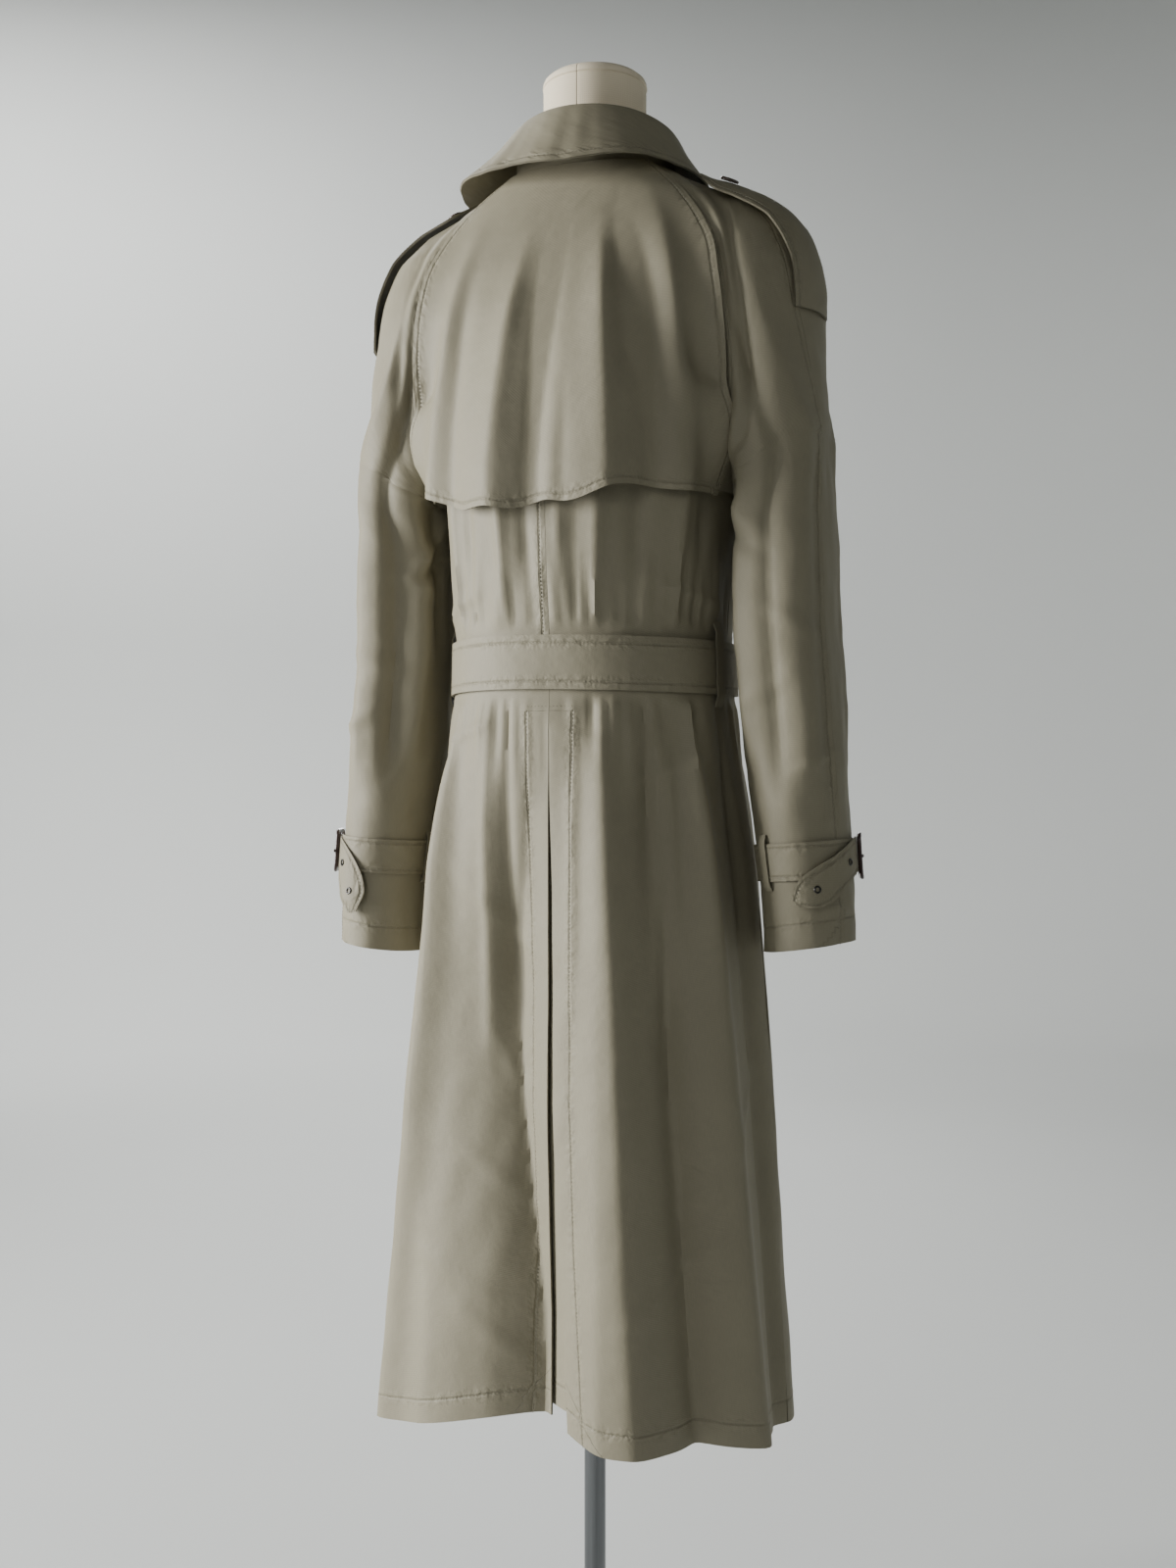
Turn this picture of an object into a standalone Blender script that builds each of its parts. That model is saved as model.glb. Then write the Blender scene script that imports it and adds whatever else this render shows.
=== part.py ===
"""Trench coat worn on a limbless dress form with a chrome pole.

Metres, +Z up.  The floor is z = 0 under the pole, the coat's front faces -Y and the
wearer's left is +X.  Every cloth piece is a closed wall: an outer grid of points and
the same grid moved in along the surface normal by the cloth's thickness.
"""
import math

import bmesh
import bpy
import numpy as np

# ---- driving dimensions -------------------------------------------------------------
CLOTH = 0.0020            # wall of one cloth panel, face cloth and backing together
SEAM = 0.00015            # half of the gap left between two pieces at a seam
LAYER = 0.0004            # clearance of a piece that lies on another
LEVEL = 0.95              # height that the section tables are measured from
HEM = -0.600              # hem at the centre back, from LEVEL
BELT_LOW, BELT_HIGH = 0.090, 0.142
STRAP_LOW, STRAP_HIGH = -0.090, -0.055
STRAP_THICK = 0.0016
BELT_THICK = 0.0030
POLE_RADIUS = 0.011
BASE_RADIUS = 0.180
BASE_THICK = 0.012
UPPER_RADIUS = 0.13       # mean radius that fold widths are taken on, above the waist
SKIRT_RADIUS = 0.17       # and below it
SLEEVE_RADIUS = 0.065     # and on a sleeve
PANEL_RADIUS = 0.15       # mean radius that seam gaps are taken on
SQUARENESS = 2.25         # 2 would make each body section an ellipse

# Body of the coat at each height: half width, depth behind and depth in front of the axis.
# columns: z, half_width, back, front
BODY = np.array([
    (-0.68, 0.216, 0.176, 0.178), (-0.60, 0.209, 0.172, 0.172), (-0.48, 0.199, 0.164, 0.162),
    (-0.38, 0.191, 0.158, 0.156), (-0.28, 0.184, 0.152, 0.150), (-0.155, 0.173, 0.145, 0.143),
    (-0.08, 0.165, 0.139, 0.138), (-0.03, 0.158, 0.135, 0.134), (0.03, 0.149, 0.131, 0.127),
    (0.09, 0.141, 0.128, 0.121), (0.142, 0.139, 0.128, 0.120), (0.20, 0.143, 0.136, 0.128),
    (0.26, 0.147, 0.141, 0.136), (0.30, 0.149, 0.141, 0.138), (0.36, 0.154, 0.136, 0.136),
    (0.42, 0.162, 0.128, 0.129), (0.46, 0.174, 0.120, 0.121), (0.50, 0.184, 0.109, 0.111),
    (0.535, 0.184, 0.097, 0.100), (0.56, 0.167, 0.087, 0.091), (0.578, 0.145, 0.080, 0.084),
    (0.595, 0.114, 0.073, 0.078), (0.61, 0.086, 0.069, 0.074), (0.62, 0.058, 0.054, 0.058),
    (0.632, 0.020, 0.020, 0.020)])

# Left sleeve at each height: centre, half width and half depth.
# columns: z, centre_x, centre_y, half_width, half_depth
SLEEVE = np.array([
    (-0.22, 0.233, 0.020, 0.047, 0.056), (-0.10, 0.229, 0.020, 0.0475, 0.058),
    (0.04, 0.216, 0.014, 0.051, 0.067), (0.14, 0.2075, 0.010, 0.052, 0.073),
    (0.20, 0.2055, 0.010, 0.052, 0.076), (0.285, 0.2045, 0.009, 0.050, 0.079),
    (0.34, 0.196, 0.006, 0.054, 0.081), (0.40, 0.186, 0.002, 0.057, 0.083),
    (0.46, 0.173, 0.0, 0.062, 0.080), (0.56, 0.160, 0.0, 0.060, 0.072)])
HEAD_Z, HEAD_RISE = 0.470, 0.080     # the sleeve closes as a dome above this height

# Raglan seam on the left side, from the underarm up to the neck.
# columns: seam_x, seam_z, reach of the ring centre past the seam, ring angle at the seam
ARMHOLE = [
    (0.1560, 0.285, 0.061, 180.0), (0.1570, 0.289, 0.060, 164.0), (0.1580, 0.300, 0.055, 144.0),
    (0.1600, 0.322, 0.045, None), (0.1630, 0.360, 0.030, None), (0.1630, 0.400, 0.020, None),
    (0.1600, 0.440, 0.010, None), (0.1550, 0.480, 0.000, None), (0.1450, 0.520, 0.000, None),
    (0.1150, 0.566, -0.010, None), (0.0740, 0.607, -0.030, None)]
PIVOT = np.array([0.10, 0.0, 0.25])

# Sleeve rings below the armhole: height of the ring centre and its tilt, outer side up.
SLEEVE_RINGS = [(0.262, 25.0), (0.220, 18.0), (0.175, 12.0), (0.125, 7.0), (0.070, 4.0), (0.015, 3.0),
                (-0.035, 3.0), (-0.0725, 4.0), (-0.110, 6.0), (-0.155, 8.0)]

# Folds of the body, each a soft ridge (+) or trough (-) that runs down the cloth.
# columns: angle_top, z_top, angle_low, z_low, height, half_width   (angle 0 = centre back)
BODY_FOLDS = [
    (2, 0.03, 2, -0.70, -0.040, 0.040), (36, 0.05, 50, -0.70, 0.013, 0.022),
    (-23, 0.05, -19, -0.70, 0.016, 0.026), (-31, 0.04, -41, -0.70, -0.014, 0.022),
    (-50, 0.05, -60, -0.70, 0.011, 0.026), (-70, 0.06, -77, -0.70, -0.010, 0.018),
    (63, 0.05, 70, -0.70, -0.011, 0.022), (-96, 0.05, -98, -0.70, 0.009, 0.024),
    (104, 0.05, 107, -0.70, 0.010, 0.026), (128, 0.05, 131, -0.70, -0.010, 0.026),
    (-122, 0.05, -127, -0.70, -0.010, 0.028), (150, 0.05, 152, -0.70, 0.008, 0.024),
    (18, 0.28, 25, 0.14, 0.004, 0.013), (38, 0.26, 37, 0.14, -0.004, 0.012),
    (-20, 0.26, -18, 0.14, 0.004, 0.014), (-30, 0.28, -29, 0.14, -0.004, 0.012),
    (-48, 0.26, -46, 0.14, 0.004, 0.012), (120, 0.34, 128, 0.14, -0.005, 0.018),
    (-120, 0.34, -130, 0.14, -0.005, 0.018)]

# Folds of the storm flap, in the same terms.
FLAP_FOLDS = [
    (46, 0.58, 51, 0.25, 0.008, 0.016), (24, 0.55, 24, 0.25, 0.007, 0.016),
    (6, 0.58, 21, 0.25, -0.007, 0.016), (-14, 0.46, -15, 0.25, 0.008, 0.020),
    (-30, 0.52, -30, 0.25, -0.007, 0.016), (-39, 0.59, -43, 0.25, 0.010, 0.018),
    (-54, 0.50, -55, 0.25, -0.006, 0.016), (-4, 0.40, -5, 0.25, -0.005, 0.012)]

# Folds of the sleeves: ring angle 0 = outward, 90 = back, 180 = against the body.
# columns: side, angle_top, z_top, angle_low, z_low, height, half_width
SLEEVE_FOLDS = [
    (1, 100, 0.42, 104, 0.02, -0.008, 0.012), (1, 68, 0.46, 66, 0.02, 0.005, 0.016),
    (1, 132, 0.34, 130, 0.10, 0.006, 0.012), (-1, 88, 0.46, 92, 0.00, -0.009, 0.012),
    (-1, 60, 0.44, 62, -0.04, 0.005, 0.016), (-1, 118, 0.48, 122, 0.14, 0.007, 0.014),
    (1, -70, 0.44, -74, 0.00, -0.007, 0.014), (-1, -72, 0.44, -70, 0.02, -0.007, 0.014),
    (1, -110, 0.36, -112, 0.04, 0.005, 0.014), (-1, -108, 0.36, -110, 0.04, 0.005, 0.014)]

# Vent at the centre back: how far each back panel's edge stands from the centre line.
# columns: z, left_edge_x, right_edge_x
VENT = np.array([
    (-0.64, -0.004, -0.034), (-0.52, -0.003, -0.024), (-0.42, -0.001, -0.014), (-0.30, 0.0025, -0.006),
    (-0.10, 0.0020, -0.004), (0.00, 0.0008, -0.0008), (0.072, SEAM, -SEAM), (0.70, SEAM, -SEAM)])

# The dress form: half width, depth behind and depth in front at each height.
FORM = np.array([
    (-0.200, 0.128, 0.098, 0.098), (-0.185, 0.136, 0.105, 0.104), (-0.10, 0.140, 0.110, 0.106),
    (0.00, 0.131, 0.106, 0.100), (0.09, 0.108, 0.094, 0.086), (0.13, 0.107, 0.094, 0.088),
    (0.22, 0.120, 0.108, 0.106), (0.30, 0.129, 0.114, 0.118), (0.38, 0.136, 0.108, 0.112),
    (0.45, 0.140, 0.096, 0.098), (0.49, 0.134, 0.084, 0.086), (0.52, 0.112, 0.074, 0.076),
    (0.545, 0.084, 0.064, 0.066), (0.57, 0.063, 0.058, 0.058), (0.60, 0.054, 0.053, 0.053),
    (0.66, 0.0525, 0.0525, 0.0525), (0.706, 0.0525, 0.0525, 0.0525)])


def section(table, z):
    """Every column of a section table at the heights z."""
    return [np.interp(z, table[:, 0], table[:, i]) for i in range(1, table.shape[1])]


def smooth(a, b, x):
    t = np.clip((x - a) / (b - a), 0.0, 1.0)
    return t * t * (3.0 - 2.0 * t)


def body_field(p):
    """Negative inside the coat's body, zero on its outer face."""
    x, y, z = p[..., 0], p[..., 1], p[..., 2]
    half, back, front = section(BODY, z)
    depth = np.where(y > 0, back, front)
    ratio = (np.abs(x) / half) ** SQUARENESS + (np.abs(y) / depth) ** SQUARENESS
    return (ratio ** (1 / SQUARENESS) - 1.0) * np.minimum(half, depth)


def sleeve_field(p):
    """Negative inside the left sleeve."""
    x, y, z = p[..., 0], p[..., 1], p[..., 2]
    cx, cy, half, depth = section(SLEEVE, z)
    rise = np.clip((z - HEAD_Z) / HEAD_RISE, 0.0, None)
    ratio = np.sqrt(((x - cx) / half) ** 2 + ((y - cy) / depth) ** 2 + rise ** 2)
    return (ratio - 1.0) * half


def coat_field(p):
    """Body and left sleeve joined, with the crease between them softened higher up."""
    a, b = body_field(p), sleeve_field(p)
    blend = 0.004 + 0.040 * smooth(0.30, 0.44, p[..., 2])
    h = np.clip(0.5 + 0.5 * (b - a) / blend, 0.0, 1.0)
    return b + (a - b) * h - blend * h * (1.0 - h)


def cast(origin, direction, field, reach=0.30):
    """First point where each ray leaves the field."""
    steps = np.linspace(0.0, reach, 121)
    points = origin[..., None, :] + direction[..., None, :] * steps[:, None]
    outside = field(points) > 0
    outside[..., -1] = True
    first = np.maximum(np.argmax(outside, axis=-1), 1)
    low, high = steps[first - 1], steps[first]
    for _ in range(22):
        mid = 0.5 * (low + high)
        beyond = field(origin + direction * mid[..., None]) > 0
        high = np.where(beyond, mid, high)
        low = np.where(beyond, low, mid)
    return origin + direction * (0.5 * (low + high))[..., None]


def normals(p, field):
    """Outward unit normals of a field, from its slope."""
    step = 0.0015
    grad = np.stack([field(p + step * e) - field(p - step * e) for e in np.eye(3)], axis=-1)
    return grad / np.linalg.norm(grad, axis=-1, keepdims=True)


def fold_height(folds, angle, z, radius):
    """Sum of the folds at each angle (degrees) and height."""
    total = np.zeros(np.broadcast(angle, z).shape)
    for top, z_top, low, z_low, height, half_width in folds:
        run = (z_top - z) / (z_top - z_low)
        along = top + (low - top) * run
        across = np.radians((angle - along + 180.0) % 360.0 - 180.0) * radius
        fade = smooth(0.0, 0.25, run) * (0.45 + 0.55 * np.clip(run, 0, 1))
        if z_low > -0.5:
            fade = smooth(0.0, 0.3, run) * smooth(1.02, 0.8, run)
        total = total + height * fade * np.exp(-(across / half_width) ** 2)
    return total


def hem_drop(angle):
    """How much lower the hem hangs than at the centre back."""
    left = 0.045 * smooth(0, 80, angle) - 0.015 * smooth(90, 180, angle)
    right = 0.018 * smooth(0, 25, -angle) + 0.014 * smooth(45, 100, -angle)
    return np.where(angle > 0, left, right)


def ray_angle(angle):
    a = np.radians(angle)
    return np.stack([np.sin(a), np.cos(a), np.zeros_like(a)], axis=-1)


# ---- the armhole, shared by body and sleeve ------------------------------------------
def armhole_rows():
    """For each row: ring centre, ring direction, seam angle, back and front seam points."""
    rows = []
    for seam_x, seam_z, reach, angle in ARMHOLE:
        seam = np.array([seam_x, 0.0, seam_z])
        span = np.linalg.norm(seam - PIVOT)
        out = (seam - PIVOT) / span
        centre = PIVOT + out * (span + reach)
        points = []
        for side in (1.0, -1.0):
            if angle is not None:
                a = math.radians(angle)
                ray = out * math.cos(a) + np.array([0.0, side * math.sin(a), 0.0])
                points.append(cast(centre, ray, sleeve_field))
            else:
                points.append(cast(seam, np.array([0.0, side, 0.0]), coat_field))
        turn = [angle if angle is not None else math.degrees(
            math.atan2(abs(p[1] - centre[1]), float(np.dot(p - centre, out)))) for p in points]
        rows.append((centre, out, turn, points[0], points[1]))
    return rows


ARM_ROWS = armhole_rows()


# ---- panels --------------------------------------------------------------------------
JOINED_ROW = 3            # armhole rows from this one up lie on body and sleeve joined
LOW_ROWS = [0.250, 0.195, 0.142, 0.090, 0.072, 0.020, -0.04, -0.11, -0.19, -0.28, -0.37, -0.45, -0.53, HEM]
BACK_COLUMNS = 10
FRONT_COLUMNS = 9
PANEL_TRIM = math.degrees(SEAM / PANEL_RADIUS)


def body_point(angle, z, upper):
    """Outer face of the body at an angle and a height, and its normal."""
    field = coat_field if upper else body_field
    mirrored = np.abs(angle)
    origin = np.stack([np.zeros_like(angle), np.zeros_like(angle), z], axis=-1)
    p = cast(origin, ray_angle(mirrored), field)
    n = normals(p, field)
    flip = np.where(angle < 0, -1.0, 1.0)
    p[..., 0] *= flip
    n[..., 0] *= flip
    return p, n


def body_rows(side, front, columns, edge_at, folds=BODY_FOLDS, low_rows=LOW_ROWS, first=0, low_stop=90.0):
    """Grid of outer points and normals of one quarter of the body, top row first.

    edge_at(z) gives the angle of the centre edge; the other edge is the raglan seam
    above the underarm and the side seam below it.
    """
    t = np.linspace(0.0, 1.0, columns + 1)
    points, slopes = [], []
    for k in range(len(ARMHOLE) - 1, first - 1, -1):
        seam = ARM_ROWS[k][4 if front else 3]
        z = float(seam[2])
        seam_angle = math.degrees(math.atan2(seam[0], seam[1]))
        start = edge_at(z)
        angle = start + (seam_angle - start) * t
        angle[-1] += PANEL_TRIM if front else -PANEL_TRIM
        height = np.full_like(angle, z)
        p, n = body_point(angle, height, k >= JOINED_ROW)
        if k < JOINED_ROW:
            n[-1] = normals(seam, body_field)
            p[-1] = seam - np.array([3.0 * SEAM, 0.0, 0.0])
        lift = fold_height(folds, angle * side, height, UPPER_RADIUS) * smooth(0.0, 0.25, 1.0 - t)
        points.append(p + n * lift[:, None])
        slopes.append(n)
    for z in low_rows:
        start = edge_at(z)
        stop = low_stop + PANEL_TRIM if front else low_stop - PANEL_TRIM
        angle = start + (stop - start) * t
        height = z - hem_drop(angle * side) * smooth(-0.20, HEM, z)
        p, n = body_point(angle, height, False)
        quiet = 1.0 - smooth(0.02, 0.07, z) * smooth(0.20, 0.155, z)
        lift = fold_height(folds, angle * side, height, SKIRT_RADIUS) * quiet
        points.append(p + n * lift[:, None])
        slopes.append(n)
    points, slopes = np.array(points), np.array(slopes)
    points[..., 0] *= side
    slopes[..., 0] *= side
    return points, slopes


def place(points):
    """Table heights to world heights."""
    return points + np.array([0.0, 0.0, LEVEL])


MATERIALS = {}


def material(name, colour, metallic, roughness):
    if name not in MATERIALS:
        made = bpy.data.materials.new(name)
        made.use_nodes = True
        shader = made.node_tree.nodes["Principled BSDF"]
        shader.inputs["Base Color"].default_value = (*colour, 1.0)
        shader.inputs["Metallic"].default_value = metallic
        shader.inputs["Roughness"].default_value = roughness
        MATERIALS[name] = made
    return MATERIALS[name]


def gabardine():
    return material("gabardine", (0.24, 0.22, 0.18), 0.0, 0.8)


def make(name, vertices, faces, look):
    mesh = bpy.data.meshes.new(name)
    mesh.from_pydata([tuple(map(float, v)) for v in vertices], [], faces)
    work = bmesh.new()
    work.from_mesh(mesh)
    bmesh.ops.recalc_face_normals(work, faces=work.faces)
    bmesh.ops.triangulate(work, faces=work.faces, quad_method="SHORT_EDGE")
    work.to_mesh(mesh)
    work.free()
    mesh.materials.append(look)
    made = bpy.data.objects.new(name, mesh)
    bpy.context.scene.collection.objects.link(made)
    return made


def wall(name, outer, inner, look, closed=False):
    """Closed wall between two grids of the same shape; closed joins its last column to its first."""
    rows, cols = outer.shape[:2]
    count = rows * cols
    vertices = np.concatenate([outer.reshape(-1, 3), inner.reshape(-1, 3)])
    faces = []
    last = cols if closed else cols - 1
    for r in range(rows - 1):
        for c in range(last):
            d = (c + 1) % cols
            a, b, e, f = r * cols + c, r * cols + d, (r + 1) * cols + d, (r + 1) * cols + c
            faces.append((a, b, e, f))
            faces.append((a + count, f + count, e + count, b + count))
    for c in range(last):
        d = (c + 1) % cols
        for r in (0, rows - 1):
            a, b = r * cols + c, r * cols + d
            quad = (a, a + count, b + count, b)
            faces.append(quad if r == 0 else quad[::-1])
    if not closed:
        for r in range(rows - 1):
            for c in (0, cols - 1):
                a, b = r * cols + c, (r + 1) * cols + c
                quad = (a, b, b + count, a + count)
                faces.append(quad if c == 0 else quad[::-1])
    return make(name, vertices, faces, look)


def cloth(name, points, slopes, lift=0.0, thick=CLOTH, look=None, closed=False):
    """Cloth wall whose outer face stands lift metres off the given points."""
    lift = np.asarray(lift, dtype=float)
    lift = lift[..., None] if lift.ndim else lift
    outer = place(points + slopes * lift)
    inner = place(points + slopes * (lift - thick))
    return wall(name, outer, inner, look or gabardine(), closed)


# ---- back panels, flap and vent --------------------------------------------------------
def vent_edge(side):
    column = 1 if side > 0 else 2

    def edge(z):
        x = float(np.interp(z, VENT[:, 0], VENT[:, column])) * side
        depth = float(section(BODY, z)[1])
        return math.degrees(math.atan2(x, depth))
    return edge


def build_backs():
    for side, name in ((1.0, "back_left"), (-1.0, "back_right")):
        points, slopes = body_rows(side, False, BACK_COLUMNS, vent_edge(side))
        cloth(name, points, slopes)


def centre_edge(z):
    return 0.0


def build_flap():
    """The storm flap hangs free below its seams and lies on both back panels."""
    parts = []
    for side in (1.0, -1.0):
        options = {"low_rows": [0.292, 0.262], "first": JOINED_ROW, "low_stop": 61.0}
        points, slopes = body_rows(side, False, BACK_COLUMNS, centre_edge, FLAP_FOLDS, **options)
        base, slopes = body_rows(side, False, BACK_COLUMNS, centre_edge, BODY_FOLDS, **options)
        slack = smooth(0.50, 0.30, base[:, -1, 2])[:, None]
        share = 0.06 + 0.24 * slack
        base[:, -1] = base[:, -1] * (1.0 - share) + base[:, -2] * share
        parts.append((points, slopes, base))
    left, right = parts
    points = np.concatenate([left[0][:, :0:-1], right[0]], axis=1)
    slopes = np.concatenate([left[1][:, :0:-1], right[1]], axis=1)
    base = np.concatenate([left[2][:, :0:-1], right[2]], axis=1)
    angle = np.degrees(np.arctan2(points[..., 0], points[..., 1]))
    free = smooth(0.52, 0.27, points[..., 2])
    inside = smooth(62.0, 46.0, np.abs(angle))
    fold = np.sum((points - base) * slopes, axis=-1) * inside
    lift = CLOTH + LAYER + free * (0.002 + 0.009 * inside)
    lift = lift + 0.006 * free * free * smooth(30.0, 50.0, angle)
    lift = lift + np.maximum(fold * smooth(0.58, 0.40, points[..., 2]), -0.007 * free)
    low_edge = 0.262 + 0.022 * smooth(28.0, 60.0, angle[-1]) + 0.014 * smooth(5.0, 30.0, -angle[-1])
    base[-1, :, 2] = low_edge
    cloth("storm_flap", base, slopes, lift)


def build_underlay():
    """Strip behind the vent, joined under the right back panel."""
    heights = np.array([0.060, 0.02, -0.03, -0.09, -0.16, -0.24, -0.32, -0.39, -0.46, -0.52, -0.585])
    spread = np.linspace(0.030, -0.060, 7)
    z, x = np.meshgrid(heights, spread, indexing="ij")
    angle = np.degrees(np.arctan2(x, section(BODY, z)[1]))
    p, n = body_point(angle, z, False)
    p = p + n * fold_height(BODY_FOLDS, angle, z, SKIRT_RADIUS)[..., None]
    cloth("vent_underlay", p, n, -(CLOTH + VENT_EASE))


# ---- fronts and lapels -----------------------------------------------------------------
VENT_EASE = 0.0044        # how far the vent's underlay hangs behind the panels
BREAK_Z = 0.36            # height where the lapels begin to roll
OVERLAP = 0.078           # how far each front passes the centre line


def front_edge(side):
    def edge(z):
        depth = float(section(BODY, z)[2])
        reach = OVERLAP
        if z > BREAK_Z:
            reach = OVERLAP + (-0.052 - OVERLAP) * (z - BREAK_Z) / (0.607 - BREAK_Z)
        return math.degrees(math.atan2(-reach, -depth)) % 360.0
    return edge


def front_tuck(points, side):
    """The left front runs under the right one, so its centre part lies deeper."""
    across = points[..., 0] * side
    return -0.0064 * smooth(0.108, 0.084, across) * smooth(0.60, 0.54, points[..., 2])


def build_fronts():
    for side, name in ((-1.0, "front_right"), (1.0, "front_left")):
        points, slopes = body_rows(side, True, FRONT_COLUMNS, front_edge(side))
        lift = front_tuck(points, side) if side > 0 else 0.0
        cloth(name, points, slopes, lift)
        rows = points[:7]
        t = np.linspace(0.0, 1.0, 5)
        grid, grid_slopes = [], []
        for r in range(1, 7):
            z = float(rows[r, 0, 2])
            edge = abs(front_edge(side)(z))
            far = edge - (34.0 * smooth(0.58, 0.50, z) * smooth(BREAK_Z - 0.02, 0.47, z) + 3.0)
            angle = edge + (far - edge) * t
            p, n = body_point(angle, np.full_like(angle, z), True)
            lifted = fold_height(BODY_FOLDS, angle * side, np.full_like(angle, z), UPPER_RADIUS)
            p = p + n * lifted[:, None]
            p[:, 0] *= side
            n[:, 0] *= side
            grid.append(p)
            grid_slopes.append(n)
        grid, grid_slopes = np.array(grid), np.array(grid_slopes)
        tuck = front_tuck(grid, side) if side > 0 else 0.0
        cloth("lapel_" + name[6:], grid, grid_slopes, CLOTH + 0.0016 + tuck)


# ---- sleeves ---------------------------------------------------------------------------
def sleeve_grid(side, front, columns):
    """Outer points of one half of a sleeve, neck row first."""
    t = np.linspace(0.0, 1.0, columns + 1)
    trim = math.degrees(SEAM / SLEEVE_RADIUS)
    points, slopes = [], []
    rings = []
    for k in range(len(ARMHOLE) - 1, -1, -1):
        centre, out, turn, _, _ = ARM_ROWS[k]
        over = 33.0 - 24.0 * smooth(0.30, 0.60, ARMHOLE[k][1])
        rings.append((centre, out, turn[1 if front else 0], over, k >= JOINED_ROW))
    drop = 0.0 if side < 0 else -0.012
    for z, tilt in SLEEVE_RINGS:
        z = z + drop * smooth(0.0, -0.155, z)
        cx, cy, _, _ = section(SLEEVE, z)
        a = math.radians(tilt)
        out = np.array([math.cos(a), 0.0, math.sin(a)])
        rings.append((np.array([float(cx), float(cy), z]), out, 180.0, 33.0, False))
    for centre, out, seam, over, upper in rings:
        start, stop = (-seam + trim, over - trim) if front else (seam - trim, over + trim)
        angle = start + (stop - start) * t
        a = np.radians(angle)
        ray = np.cos(a)[:, None] * out + np.sin(a)[:, None] * np.array([0.0, 1.0, 0.0])
        origin = np.broadcast_to(centre, ray.shape)
        field = coat_field if upper else sleeve_field
        p = cast(origin, ray, field)
        n = normals(p, field)
        rows = [row[1:] for row in SLEEVE_FOLDS if row[0] == side]
        lift = fold_height(rows, angle, p[:, 2], SLEEVE_RADIUS)
        lift = lift * (smooth(0.0, 0.3, t) if upper else 1.0)
        points.append(p + n * lift[:, None])
        slopes.append(n)
    points, slopes = np.array(points), np.array(slopes)
    points[..., 0] *= side
    slopes[..., 0] *= side
    return points, slopes


def build_sleeves():
    for side, hand in ((1.0, "left"), (-1.0, "right")):
        cloth("sleeve_back_" + hand, *sleeve_grid(side, False, 5))
        cloth("sleeve_front_" + hand, *sleeve_grid(side, True, 6))


def sleeve_band(side, heights, angles, tilt=4.0):
    """Points round the sleeve at the cuff: one row per height, one column per angle."""
    a = np.radians(angles)
    points, slopes = [], []
    rows = [row[1:] for row in SLEEVE_FOLDS if row[0] == side]
    for z in heights:
        cx, cy, _, _ = section(SLEEVE, z)
        out = np.array([math.cos(math.radians(tilt)), 0.0, math.sin(math.radians(tilt))])
        ray = np.cos(a)[:, None] * out + np.sin(a)[:, None] * np.array([0.0, 1.0, 0.0])
        origin = np.broadcast_to(np.array([float(cx), float(cy), z]), ray.shape)
        p = cast(origin, ray, sleeve_field)
        n = normals(p, sleeve_field)
        p = p + n * fold_height(rows, angles, p[:, 2], SLEEVE_RADIUS)[:, None]
        points.append(p)
        slopes.append(n)
    points, slopes = np.array(points), np.array(slopes)
    points[..., 0] *= side
    slopes[..., 0] *= side
    return points, slopes


def build_cuffs():
    low, high = STRAP_LOW, STRAP_HIGH
    for side, hand in ((1.0, "left"), (-1.0, "right")):
        buckle_at = 28.0 if side > 0 else -24.0
        angles = np.linspace(buckle_at - 4.0, buckle_at - 348.0, 29)
        points, slopes = sleeve_band(side, [low, high], angles)
        cloth("cuff_strap_" + hand, points, slopes, STRAP_THICK + 0.0012, STRAP_THICK)
        build_tail(side, hand, buckle_at)
        loop_at = 168.0 if side > 0 else 118.0
        for number, at in enumerate((loop_at, loop_at - 180.0), start=1):
            spread = np.array([at - 5.0, at, at + 5.0])
            heights = [low - 0.009, low - 0.003, high + 0.003, high + 0.009]
            points, slopes = sleeve_band(side, heights, spread)
            lift = np.array([[0.0021], [0.0046], [0.0046], [0.0021]]) * np.ones((1, 3))
            cloth("cuff_loop_%s_%d" % (hand, number), points, slopes, lift, 0.0013)
        build_cuff_buckle(side, hand, buckle_at)


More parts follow.
